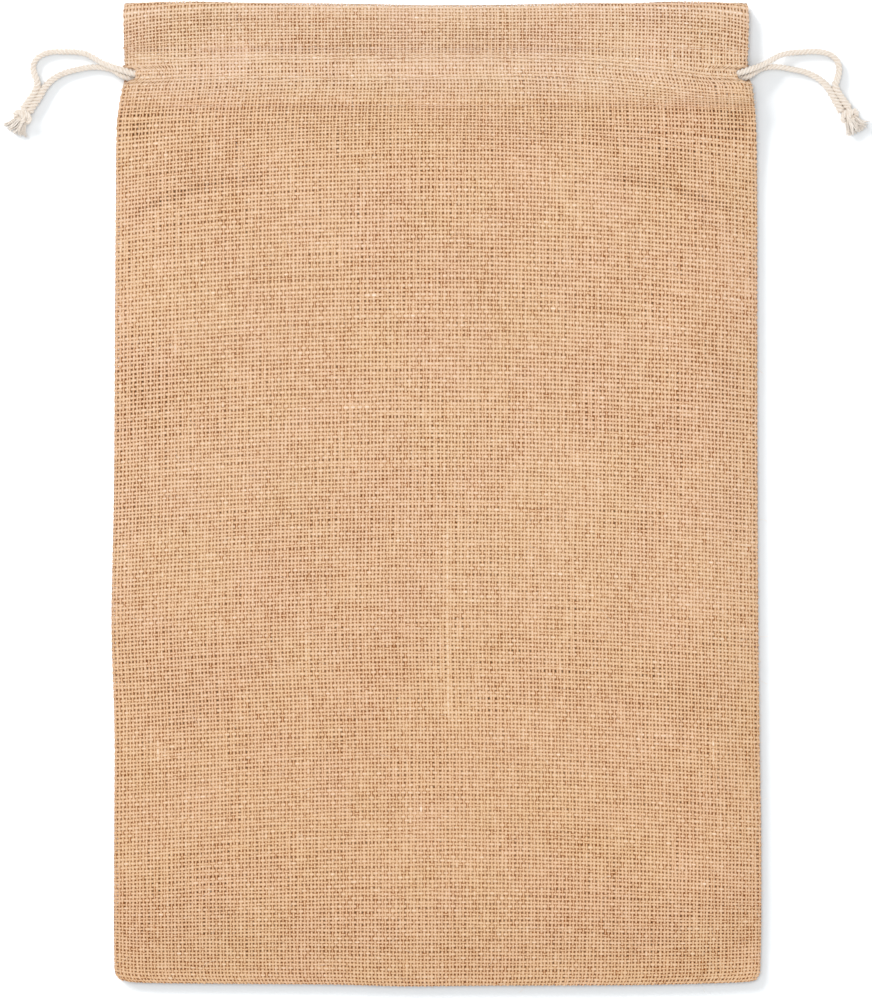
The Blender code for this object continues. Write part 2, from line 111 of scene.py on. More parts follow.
# The stage, in metres
FLOOR_SIZE, FLOOR_HEIGHT = 6.0, -0.0001
LAMP_PLACE, FLOOR_LAMP_PLACE = (-0.35, 0.45, 2.2), (-1.6, 1.7, 0.64)
SKY_COLOUR = (0.97, 0.99, 1.0, 1.0)

# Cloth and cord
CLOTH = 1.0
GAP = 0.3
SLACK = 0.1
CORD = 2.8
CORD_LAY = 5.8
PLY_FULLNESS = 0.53  # radius of a ply beside the cord's
SLIT_FULLER, SLIT_FULLER_REACH = 0.2, 22.0
KNOT_FULLER, KNOT_FULLER_REACH = 0.42, 30.0
PLY_TONE, PLY_UNEVEN = 0.06, 0.02
YARN_GROOVE_SHADE, YARN_TURNS = 0.09, 2.6  # painted shade between the yarns of a ply, and how fast those yarns wind
PLY_PITCH = CLOTH + GAP

# The sack's outline, on smooth curves through these rows
BOTTOM, TOP = -229.6, 229.5
SIDE_OUTLINE = (  # height along the sack, left edge, right edge
    (-229.6, -146.6, 148.6), (-228, -148.6, 150.3), (-224, -149.7, 151.4), (-170, -149.9, 151.8),
    (-110, -149.7, 151), (-62, -151.1, 150.5), (0, -150, 150.1), (60, -149.6, 150),
    (140, -149.1, 149.9), (172, -148.6, 149.4), (184, -147.1, 148.4), (191, -145.6, 147.4),
    (196, -145, 145.6), (224, -145.5, 146), (229.5, -144.9, 145.1),
)
END_OUTLINE = (  # place across the sack, rise of the bottom edge, drop of the top edge
    (-149, 3.1, 0.7), (-139, 1.8, 0), (-95, 1.2, 0.4), (-45, 0.8, 1.2), (-15, 0, 1.6),
    (22, 0.3, 1.9), (60, 0.4, 1.1), (100, 0.7, 0.4), (140, 1.8, 0), (149, 2.5, 0.7),
)
BOTTOM_REACH, TOP_REACH = 40.0, 26.0

# Heights of the cloth's middle surface
FLOOR_PLY = CLOTH / 2
BACK_EDGE_LIFT, LIFT_REACH = 0.7, 6.0
BODY_SEAM = 2.6
HEM_SEAM = FLOOR_PLY + 3 * PLY_PITCH + GAP
HEM_INNER = HEM_SEAM - PLY_PITCH - SLACK
CROWN = 12.4
MOUTH = 10.9
SIDE_REACH, HEM_REACH, BOTTOM_SWELL = 30.0, 46.0, 48.0
FRONT_BLEND, BACK_BLEND = 140.0, 150.0

# The hem, as heights along the sack
HEM_STITCH = 180.6
CASING_STITCH = 207.2
STITCH_LINES = (HEM_STITCH, CASING_STITCH)
HEM_RAW_EDGE = 177.4
RIDGE = CORD + 2 * GAP + CLOTH + SLACK / 2
RIDGE_FLANK = 3.3
CREST_REACH, FLANK_REACH = 1.3, 2.8
RIDGE_PROFILE = (
    (-FLANK_REACH, RIDGE_FLANK),
    (-CREST_REACH, RIDGE),
    (CREST_REACH, RIDGE),
    (FLANK_REACH, RIDGE_FLANK),
)
RIDGE_BLUR = (-1.0, -0.5, 0.0, 0.5, 1.0)
LOWER_DIP, LOWER_DIP_SHARE = 3.0, 0.78
UPPER_DIP, UPPER_DIP_SHARE = 2.4, 0.7
CASING_INNER = FLOOR_PLY + RIDGE + PLY_PITCH + SLACK
CASING_INSET = 9.0
SLIT_INSET = 5.3
SLIT_MIDDLE = 195.0
SLIT_PROFILE = ((-3.5, 0.0), (-2.6, 1.0), (2.4, 1.0), (3.3, 0.0))
INSET_REACH = 28.0
CASING_ROLL, ROLL_FULLNESS = 8.0, 0.55
CASING_TURN = ((HEM_STITCH, 0.0), (185.0, 1.0), (204.0, 1.0), (CASING_STITCH, 0.0))
FOLD_RADIUS = PLY_PITCH / 2
RUNS = (  # place across the sack, lower run of cord, upper run of cord
    (-139, 194.4, 202.3), (-110, 193.3, 202), (-40, 193, 201.8), (62, 193.2, 201.5),
    (126, 186.4, 194.6), (139, 186.2, 194.4),
)
RUN_END = 139.0
TURN_CENTRE, TURN_POINTS = 8.6, 7
HELD_FROM, HELD_POINTS, HELD_STEP, HELD_SIDES = 5.0, 40, 1.6, 5  # the cord's run inside its casing
RUN_PULL = 0.5  # how far the crosswise yarns follow the cord runs, and at which heights
PULLED = ((HEM_STITCH, 0.0), (190.0, 1.0), (200.0, 1.0), (218.0, 0.0))
STITCH_PINCH, PINCH_REACH = 0.35, 1.5

# Soft troughs in the front: from x, from y, to x, to y, how far its middle bows up, depth, half-width
TROUGHS = (
    (-138, 130, -90, 147, 3, 1, 8), (90, 147, 139, 130, 3, 1, 8), (-90, 100, 28, 98, 2, 0.6, 12),
)
WAVES = (  # height, length across, length along, phase
    (0.32, 260, 210, 0.6), (0.22, 150, 330, 2.3),
)
LIP_WAVE, LIP_WAVE_LENGTH, LIP_WAVE_PHASE = 0.35, 118.0, 0.7

# The weave
WEFT_PITCH = (  # height along the sack, spacing of the crosswise yarns
    (-229, 1.80), (-150, 1.86), (0, 1.86), (58, 2.00), (114, 2.00), (158, 1.82), (180, 1.68),
    (229, 1.68),
)
BOW = 6.5  # how much higher the crosswise yarns run at mid-width than at the sides
BOW_FOOT, BOW_HEAD = 70.0, 22.0
BOW_AT_MOUTH = 0.45
BOW_MORE, BOW_MORE_REACH = 0.45, 75.0  # under the hem they run up to mid-width more steeply
HEM_DROOP, HEM_DROOP_REACH = 2.4, 16.0  # above the casing the crosswise yarns droop at the sides
DROOP_START, DROOP_END = 8.0, 5.0
WEFT_MARGIN, WEFT_END_MARGIN = 0.9, 0.8  # from the cut ends to the first and last crosswise yarn
EDGE_ROLL, EDGE_ROLL_REACH = 0.55, 1.6
EDGE_STAND = 0.05  # how far the edge yarns stand out past the sack's outline
YARN_LIFT, YARN_CRIMP, YARN_ARCH = 0.12, 0.19, 0.38
EAVE_SHADE = 0.465  # painted shade: how much darker a yarn is along its sides than along its top
JUTE_STOPS = (0.08, 0.34, 0.6, 1.0)  # the tones at which jute is darkest, shaded, plain and palest; the darkest and shaded colours mostly show painted shade
COTTON_STOPS = (0.0, 0.55, 1.0)
SHADED = (0.95, 0.88, 0.76)  # the shaded tone's share of the plain colour, so that the painted shade is warmer
OPEN_SHADE = 0.04  # painted shade: how much darker the yarns are where the weave is most open, as in the creases
HUES = ((0.35, (1.0, 0.99, 1.0)), (0.65, (0.995, 1.0, 0.96)))  # from a pinker to a yellower straw
HEM_TINT = (1.01, 1.06, 1.13)  # the hem is a little less yellow
FOOT_TINT = (0.985, 0.96, 0.92)  # and the lower half a little more
FOOT_TINT_FROM, FOOT_TINT_TO = -20.0, -120.0
HUE_WAVES, PATCH_WAVES, COTTON_PATCH_WAVES = 38.0, 22.0, 60.0  # to the metre
PATCHY, COTTON_PATCHY, LINTY = 0.1, 0.2, 0.35  # how strongly patches and lint show
FIBRE_WAVES, FIBRE_STRETCH, FIBRE_DEPTH = 3600.0, 0.12, 0.00012
LINT_WAVES, LINT_DEPTH = 2600.0, 0.0001
PATCH_REACH, WANDER_REACH = 17, 9  # of open patches and of straying yarns, in crossings
YARN_SPREAD = 0.07  # how much wider a yarn is where it lies on top
CASING_PALER = 0.03
LIP_PALER, LIP_PALER_REACH = 0.12, 5.0
WEAVE_TONES = (  # how much whole yarns differ, how pale they are, how much darker in painted shade where they dip under
    ("warp", 0.04, -0.02, 0.07),
    ("weft", 0.11, 0.02, 0.04),
)
YARN_TONE, YARN_TONE_REACH = 0.6, 26  # amounts beside the tone spread, and reaches in crossings
SHORT_TONE, SHORT_TONE_REACH = 0.35, 5
CROSSING_TONE = 0.7
FLECK_TONE, FLECK_FROM, FLECK_REACH = 1.6, 1.8, 3
THICKNESS_DRIFTS = ((0.2, 14), (0.5, 3))
SLUB_THICKNESS, SLUB_FROM, SLUB_REACH, SLUB_END = 0.45, 2.0, 6, 4.0
THICKNESS_LIMITS = (0.6, 1.4)
BACK_CLOSER = 0.15  # the weave of the back lies closer, so that the floor doesn't show through both
OPENING = 0.18  # share by which the yarns are thinner where the weave is most open
NEEDLE_HOLES = 0.3  # the same beside the needle holes of a stitch line

# Where the weave of the front lies more open, or closer where below 0, alike in both halves:
# distance from the middle, height along the sack, half-sizes across and along, openness
OPEN_PLACES = (
    (140, 171.5, 9, 7, 0.9), (133, 50, 15, 22, 0.4), (138, -6, 12, 9, 0.35),
    (138, -68, 14, 2.5, 0.4), (115, -92, 20, 17, 0.35), (110, -203, 50, 24, 0.35),
    (26, -205, 40, 20, 0.15), (60, 170, 60, 7, 0.4), (110, 152, 26, 10, 0.3),
    (0, 182.4, 60, 1.7, -0.6), (0, 179, 60, 1, 0.4), (0, 229.5, 300, 2.5, -0.9),
    (0, 199, 62, 6, -0.35), (15, 212, 60, 7, 0.35), (145, 214, 14, 12, 0.4),
    (118, 212, 22, 7, 0.35), (136, 202, 13, 5, -0.5), (102, 221, 24, 6, 0.6),
    (98, 206, 24, 8, -0.6), (139, 97, 13, 20, -0.3), (119, -48, 24, 20, -0.2),
)

# Sewing thread and loose fibres
STITCH, THREAD = 3.3, 0.42
STITCH_MARGIN, STITCH_FLAT = 2.0, 0.75
THREAD_LIFT, THREAD_DIVE = 0.42, 0.6
THREAD_TONE = -0.02
FIBRE, FIBRE_REACH, FIBRE_STEPS = 0.045, (2.0, 8.0), 5
FIBRE_RISE, FIBRE_TONE = (0.25, 0.8), 0.15
EDGE_FIBRES, EDGE_FIBRE_REACH, EDGE_FIBRE_INSET, EDGE_FIBRE_TURN = 0.35, 0.35, 0.006, 1.1
CORD_FUZZ = 2.4  # short hairs to a millimetre of cord
FUZZ, FUZZ_REACH = 0.022, (0.3, 1.1)
FUZZ_ROOT, FUZZ_TONE = 0.38, 0.3

# Creases where the yarns part: from the middle, height along; to the middle, height along;
# how far they bow up, half-width, openness
PARTED_CREASES = (
    (140, 130.5, 81, 147.5, 3, 2, 0.7), (141, 131, 112, 140.5, 1.5, 3, 0.35),
    (152, 176.5, 0, 178.5, 0, 1.6, 0.15),
)

# Thick or thin places that show in the front: direction, from, to and place of a yarn, fullness, tone
SLUBS = (
    ("weft", -89, -42, 99.9, -0.14, -0.10), ("weft", -7, 30, 98.5, -0.10, -0.08),
    ("weft", -63, 21, 82.6, 0.08, 0.06), ("warp", -105, -12, 5.8, 0.20, 0.14),
    ("warp", -150, -40, -60, 0.10, 0.08), ("warp", -126, -112, -128.6, 0.30, 0.22),
    ("warp", -126, -112, 129, 0.30, 0.22), ("weft", -33, -26, 92.9, 0.30, 0.20),
    ("weft", -46, -28, 40.5, 0.25, 0.20), ("weft", 52, 59, 86.5, 0.30, 0.20),
    ("weft", 98, 120, 76.5, 0.10, 0.06), ("weft", -26.5, -22.5, 30.8, 0.20, -0.55),
    ("weft", -93, -89.5, 71.9, 0.10, -0.50),
)

# The loose strands of each cord, from its slit to its knot
LEFT_OVER = (
    (-139, 195.3, 8), (-144.5, 197, 6.5), (-150.6, 199.1, 4.9), (-155.4, 201, 3.8),
    (-159.2, 203.3, 2.8), (-163, 205.3, 2), (-167.8, 206.2, 1.5), (-173.5, 206.3, 1.42),
    (-178.2, 206.3, 1.42), (-182.6, 205.3, 1.42), (-186, 203.1, 1.42), (-187.6, 199.9, 1.42),
    (-187.4, 196.6, 1.42), (-186.2, 193.5, 1.42), (-185.7, 190.4, 1.42), (-186.9, 187.3, 1.42),
    (-188.6, 184.6, 1.5), (-190.4, 181.9, 1.9), (-192.3, 179.4, 2.4),
)
LEFT_UNDER = (
    (-139, 193.4, 2.75), (-142, 193.8, 4.3), (-144.8, 194.5, 3.95), (-147.4, 195.9, 2.85),
    (-149.9, 197.5, 1.85), (-152.6, 198.4, 1.5), (-156.4, 199, 1.42), (-161.6, 199, 1.42),
    (-167.5, 197.9, 1.42), (-173.3, 196.3, 1.42), (-177.6, 194.1, 1.42), (-180.8, 191.4, 1.42),
    (-183, 188.6, 1.42), (-184.4, 186, 1.42), (-186.1, 183.4, 1.5), (-187.9, 180.9, 1.9),
    (-189.5, 178.1, 2.4),
)
RIGHT_OVER = (
    (139, 195.3, 8), (145, 197.2, 6.5), (151, 199.4, 4.9), (155.4, 201.6, 3.8),
    (158.7, 203.7, 2.8), (162.4, 205.2, 2), (166.6, 205.9, 1.5), (171.4, 206.2, 1.42),
    (176.2, 206.4, 1.42), (180.6, 206.1, 1.42), (184.4, 204.8, 1.42), (187.2, 202.2, 1.42),
    (188.2, 199, 1.42), (188, 196, 1.42), (187.2, 193.2, 1.42), (186.4, 190.5, 1.42),
    (187.5, 187.6, 1.42), (189.2, 184.8, 1.5), (191, 182.2, 1.9), (192.8, 179.85, 2.4),
)
RIGHT_UNDER = (
    (139, 193.4, 2.75), (142.2, 193.8, 4.3), (145.2, 194.6, 3.95), (147.8, 196.1, 2.85),
    (150.3, 197.7, 1.85), (152.8, 198.7, 1.5), (156.6, 199.2, 1.42), (161.4, 199, 1.42),
    (166.8, 198, 1.42), (172, 196.9, 1.42), (176.8, 194.8, 1.42), (180.4, 192.3, 1.42),
    (183, 189.5, 1.42), (184.8, 186.7, 1.42), (186.3, 183.9, 1.5), (187.8, 181.3, 1.9),
    (189.25, 178.2, 2.4),
)
STRANDS = {"left": (LEFT_OVER, LEFT_UNDER), "right": (RIGHT_OVER, RIGHT_UNDER)}
KNOTS = {"left": (-192.4, 176.2, -25.0, False), "right": (192.9, 176.6, -25.0, True)}  # last: mirrored
KNOT_HEIGHT = 3.1

# The way of the cord in a knot, in the knot's own axes: X across its two lobes, -Y towards the fray
KNOT_TURNS = (
    (-1.3, 3.3, -0.7), (-0.2, 1.9, 0.9), (1.7, 1.4, 1.45), (3.1, 0.3, 0.9), (3.3, -1.1, -0.4),
    (2, -1.8, -1.5), (0, -1.2, -1.6), (-2, -1.7, -1.5), (-3.3, -0.9, -0.4), (-3.1, 0.5, 0.9),
    (-1.7, 1, 1.45), (0.2, 0.1, 1.6), (0.9, -1.3, 0.9), (0.5, -2.5, -0.2),
)
KNOT_TAIL = ((1.6, 3.2, -0.7), (1.2, 1.4, -0.6), (0.0, 0.0, -0.4), (-0.9, -1.5, -0.4), (-1.0, -2.5, -0.7))
FRAY = ((44, 0.32, 6), (110, 0.09, 3))  # how many yarns, their radius and their sides
FRAY_LENGTH, FRAY_SHORTER, FRAY_SPREAD, FRAY_TURN, FRAY_SCATTER = 7.4, 0.22, 50.0, -8.0, 5.0
FRAY_ROOT, FRAY_JITTER, FRAY_FROM, FRAY_ROOT_HEIGHTS = 2.5, 0.3, -1.9, (-1.9, 0.5)
FRAY_REST_HEIGHTS, FRAY_DROP, FRAY_CURL, FRAY_STEPS = (0.25, 2.5), 1.2, 0.35, 5
FRAY_STEP, FRAY_TONE, FRAY_TONE_SPREAD = 5.0, 0.15, 0.12


# ---------------------------------------------------------------- shapes of the cloth


def mix(a, b, t):
    return a + (b - a) * t


def within(t):
    return np.clip(t, 0.0, 1.0)


def eased(t):
    t = within(t)
    return t * t * (3.0 - 2.0 * t)


def swell(distance, reach):
    """From 0 at a seam to 1 at `reach` in from it, as loose cloth rises."""
    return np.sin(0.5 * np.pi * within(distance / reach))


def bump(distance, reach):
    """From 1 at a line to nothing some way past `reach` from it."""
    return np.exp(-((distance / reach) ** 2))


def bowed_line(x, x0, y0, x1, y1, bow):
    """How far along a line `x` is, from 0 to 1, and the height there of the line, bowed up by `bow`."""
    t = (x - x0) / (x1 - x0)
    return t, mix(y0, y1, t) + 4.0 * bow * t * (1.0 - t)


def cubic(here, there, slope_in, slope_out, t):
    """From `here` to `there` on a smooth curve, `t` going from 0 to 1."""
    bend = 2 * (here - there) + slope_in + slope_out
    turn = 3 * (there - here) - 2 * slope_in - slope_out
    return here + t * (slope_in + t * (turn + t * bend))


def smooth_through(rows, column):
    """A function that reads a column at places in the first column, on a smooth curve."""
    at = np.array([row[0] for row in rows])
    value = np.array([row[column] for row in rows])
    last = len(rows) - 1
    before = np.maximum(np.arange(last + 1) - 1, 0)
    after = np.minimum(np.arange(last + 1) + 1, last)
    slope = (value[after] - value[before]) / (at[after] - at[before])

    def read(place):
        place = np.clip(place, at[0], at[last])
        k = np.clip(np.searchsorted(at, place, side="right") - 1, 0, last - 1)
        span = at[k + 1] - at[k]
        slope_in, slope_out = slope[k] * span, slope[k + 1] * span
        return cubic(value[k], value[k + 1], slope_in, slope_out, (place - at[k]) / span)

    return read


left_edge, right_edge = smooth_through(SIDE_OUTLINE, 1), smooth_through(SIDE_OUTLINE, 2)
bottom_rise, top_drop = smooth_through(END_OUTLINE, 1), smooth_through(END_OUTLINE, 2)
lower_run, upper_run = smooth_through(RUNS, 1), smooth_through(RUNS, 2)
weft_pitch = smooth_through(WEFT_PITCH, 1)


def stepped(along, stops):
    """A value that goes straight from stop to stop, each a height along the sack and a value."""
    value = stops[0][1] + 0.0 * along
    for (low, at_low), (high, at_high) in zip(stops, stops[1:]):
        value = value + (at_high - at_low) * within((along - low) / (high - low))
    return value


def ends_shift(x, along):
    """How far the curved bottom and top edges move a point at this height along the sack."""
    rise = bottom_rise(x) * within(1.0 - (along - BOTTOM) / BOTTOM_REACH)
    return rise - top_drop(x) * within(1.0 - (TOP - along) / TOP_REACH)


def seam_distance(x, along):
    return np.maximum(0.0, np.minimum(x - left_edge(along), right_edge(along) - x))


def trough(x, y):
    """How deep the soft creases of the front are at a point."""
    depth = 0.0 * x
    for *line, deep, half in TROUGHS:
        t, middle = bowed_line(x, *line)
        across = eased(1.0 - np.abs(y - middle) / half)
        depth = depth + deep * across * eased(4.0 * t) * eased(4.0 - 4.0 * t)
    return depth


def waves(x, y):
    """Low unevenness of the front."""
    total = 0.0 * x
    for height, across, along, phase in WAVES:
        total = total + height * np.sin(2 * np.pi * (x / across + y / along) + phase)
    return total


def dip_lines(x):
    """The heights along the sack beside the cord runs where the casing lies lowest."""
    below = mix(HEM_STITCH, lower_run(x) - FLANK_REACH, LOWER_DIP_SHARE)
    above = mix(CASING_STITCH, upper_run(x) + FLANK_REACH, UPPER_DIP_SHARE)
    return below, above


def casing_share(x, along):
    """1 over the cord runs and 0 at the two stitch lines."""
    below, above = dip_lines(x)
    rise = eased((along - HEM_STITCH) / (below - HEM_STITCH))
    return rise * eased((CASING_STITCH - along) / (CASING_STITCH - above))


def casing_spacing(x, along):
    """The spacing of the casing's two plies, with a soft ridge over each cord run."""
    below, above = dip_lines(x)
    stops = [(HEM_STITCH, PLY_PITCH), (below, LOWER_DIP)]
    for run in (lower_run(x), upper_run(x)):
        stops += [(run + offset, spacing) for offset, spacing in RIDGE_PROFILE]
    stops += [(above, UPPER_DIP), (CASING_STITCH, PLY_PITCH)]
    return sum(stepped(along + shift, stops) for shift in RIDGE_BLUR) / len(RIDGE_BLUR)


def front_inner(x, along, in_casing):
    """Height of the front's inner ply, which stands clear of the back so that the mouth is open."""
    distance = seam_distance(x, along)
    side, reach = HEM_INNER, HEM_REACH
    if in_casing:
        side, reach = CASING_INNER, HEM_REACH - CASING_INSET
        distance = np.maximum(0.0, distance - CASING_INSET)
    share = eased((along - CASING_STITCH) / (TOP - CASING_STITCH))
    lip = LIP_WAVE * share * np.sin(2 * np.pi * x / LIP_WAVE_LENGTH + LIP_WAVE_PHASE)
    return mix(side, MOUTH, swell(distance, reach)) + lip


def pinch(along):
    """How deep the stitch lines draw the cloth in."""
    return STITCH_PINCH * sum(bump(along - line, PINCH_REACH) for line in STITCH_LINES)


class FrontPanel:
    """The front: heights of its `outer` ply and turned-in `inner` ply, its slits and its unevenness."""

    outward = 1.0
    seed = FRONT_SEED
    closer = 0.0

    def outer(self, x, along):
        distance = seam_distance(x, along)
        hem_share = eased((along - FRONT_BLEND) / (HEM_STITCH - FRONT_BLEND))
        seam = mix(BODY_SEAM, HEM_SEAM, hem_share)
        crown = mix(CROWN + waves(x, along) - trough(x, along), MOUTH + PLY_PITCH, hem_share)
        side = swell(distance, mix(SIDE_REACH, HEM_REACH, hem_share))
        body = mix(seam, crown, side * swell(along - BOTTOM, BOTTOM_SWELL))
        over = front_inner(x, along, True) + casing_spacing(x, along)
        over = mix(HEM_SEAM, over, swell(distance, CASING_ROLL) ** ROLL_FULLNESS)
        hem = mix(front_inner(x, along, False) + PLY_PITCH, over, casing_share(x, along))
        return np.where(along < HEM_STITCH, body, hem) - pinch(along)

    def inner(self, x, along):
        plain, casing = front_inner(x, along, False), front_inner(x, along, True)
        return mix(plain, casing, casing_share(x, along))

    def slit_inset(self, along):
        return SLIT_INSET * stepped(along - SLIT_MIDDLE, SLIT_PROFILE)

    def paleness(self, x, length):
        along = BOTTOM + length
        return CASING_PALER * casing_share(x, along) + LIP_PALER * bump(along - TOP, LIP_PALER_REACH)

    def openness(self, x, along):
        """How open the weave lies: 0 where it is plain, up to 1, and below 0 where close."""
        total = 0.0 * x
        aside = np.abs(x)
        for place, height, half_across, half_along, amount in OPEN_PLACES:
            off = ((aside - place) / half_across) ** 2 + ((along - height) / half_along) ** 2
            total = total + amount * np.exp(-off)
        for *line, half, amount in PARTED_CREASES:
            t, middle = bowed_line(aside, *line)
            ends = eased(8.0 * t + 0.5) * eased(8.5 - 8.0 * t)
            total = total + amount * ends * bump(along - middle, half)
        return total


class BackPanel:
    """The shape of the back, which lies on the floor with its casing's ridges facing up."""

    outward = -1.0
    seed = BACK_SEED
    closer = BACK_CLOSER

    def outer(self, x, along):
        share = eased((along - BACK_BLEND) / (HEM_STITCH - BACK_BLEND))
        distance = np.minimum(seam_distance(x, along), along - BOTTOM)
        return FLOOR_PLY + BACK_EDGE_LIFT * (1.0 - share) * (1.0 - eased(distance / LIFT_REACH))

    def inner(self, x, along):
        return FLOOR_PLY + mix(PLY_PITCH, casing_spacing(x, along), casing_share(x, along))

    def slit_inset(self, along):
        return 0.0

    def paleness(self, x, length):
        return 0.0 * x

    def openness(self, x, along):
        return 0.0 * x


def turned_inset(along):
    """How far the turned-in ply stops short of the side seams, where the cords turn."""
    return CASING_INSET * stepped(along, CASING_TURN)


# Lengths of cut cloth, from the bottom seam up, over the mouth's edge and down to the raw edge
OUTER_LENGTH = TOP - CLOTH / 2 - FOLD_RADIUS - BOTTOM
FOLD_LENGTH = math.pi * FOLD_RADIUS
TURNED_LENGTH = BOTTOM + OUTER_LENGTH - HEM_RAW_EDGE
CUT_LENGTH = OUTER_LENGTH + FOLD_LENGTH + TURNED_LENGTH
CUT_WIDTH = 302.0


def cloth_points(panel, share, length):
    """Where points of a panel's cut cloth lie, `share` of the way across and `length` along it."""
    angle = np.pi * within((length - OUTER_LENGTH) / FOLD_LENGTH)
    turned = length > OUTER_LENGTH + FOLD_LENGTH
    back_down = np.maximum(0.0, length - OUTER_LENGTH - FOLD_LENGTH)
    along = BOTTOM + np.minimum(length, OUTER_LENGTH) - back_down + FOLD_RADIUS * np.sin(angle)
    left, right = left_edge(along) - EDGE_STAND, right_edge(along) + EDGE_STAND
    x = mix(left, right, share)
    from_left, from_right = x - left, right - x
    drawn = np.where(turned, turned_inset(along), panel.slit_inset(along))
    x = x + drawn * within(1.0 - from_left / INSET_REACH) - drawn * within(1.0 - from_right / INSET_REACH)
    z = mix(panel.outer(x, along), panel.inner(x, along), 0.5 - 0.5 * np.cos(angle))
    rolled = bump(np.minimum(from_left, from_right), EDGE_ROLL_REACH)
    z = z - panel.outward * EDGE_ROLL * rolled * (angle < 0.5 * np.pi)
    return np.stack([x, along + ends_shift(x, along), z], axis=-1)


# ---------------------------------------------------------------- the weave


def drift(rng, yarns, rings, reach):
    """Smooth noise of spread 1 along each yarn, its waves about `reach` crossings long."""
    knots = rng.normal(size=(yarns, int(rings / reach) + 3))
    place = np.arange(rings) / reach
    k = place.astype(int)
    return mix(knots[:, k], knots[:, k + 1], eased(place - k))


def clouds(rng, size, reach):
    """Smooth noise of spread 1 over the cloth, its clouds about `reach` crossings wide."""
    grid = rng.normal(size=(int(size[0] / reach) + 3, int(size[1] / reach) + 3))
    across, along = np.arange(size[0]) / reach, np.arange(size[1]) / reach
    i, j = across.astype(int)[:, None], along.astype(int)[None, :]
    u, v = eased(across[:, None] - i), eased(along[None, :] - j)
    near = mix(grid[i, j], grid[i, j + 1], v)
    return mix(near, mix(grid[i + 1, j], grid[i + 1, j + 1], v), u)


def uneven_places(rng, count, unevenness):
    """`count` places between 0 and 1, unevenly spaced."""
    steps = 1.0 + unevenness * rng.normal(size=count)
    places = np.cumsum(steps) - 0.5 * steps
    return places / steps.sum()


def weft_lengths(rng, unevenness):
    """The lengths along the cut cloth at which the crosswise yarns lie."""
    lengths = []
    reached = WEFT_MARGIN
    while reached < CUT_LENGTH - WEFT_END_MARGIN:
        lengths.append(reached)
        along = BOTTOM + min(reached, OUTER_LENGTH)
        reached += float(weft_pitch(along)) * (1.0 + unevenness * rng.normal())
    return np.array(lengths)


def bowed(share, length):
    """The length along the cloth that a bowed crosswise yarn reaches across the sack."""
    along = BOTTOM + np.minimum(length, OUTER_LENGTH)
    foot = eased((along - BOTTOM) / BOW_FOOT)
    under_hem = HEM_STITCH - along
    body = 1.0 + BOW_MORE * bump(under_hem, BOW_MORE_REACH)
    head = mix(BOW_AT_MOUTH, body, eased(under_hem / BOW_HEAD))
    arch = 1.0 / 3.0 - (2.0 * share - 1.0) ** 2
    x = mix(left_edge(along), right_edge(along), share)
    middle = 0.5 * (lower_run(0.0) + upper_run(0.0))
    pull = 0.5 * (lower_run(x) + upper_run(x)) - middle
    held = stepped(along, PULLED) * (length < OUTER_LENGTH)
    aside = CUT_WIDTH * np.minimum(share, 1.0 - share)
    droop = HEM_DROOP * np.exp(-aside / HEM_DROOP_REACH) * eased((along - CASING_STITCH) / DROOP_START)
    droop = droop * eased((TOP - along) / DROOP_END)
    return length + BOW * arch * foot * head - droop + RUN_PULL * pull * held


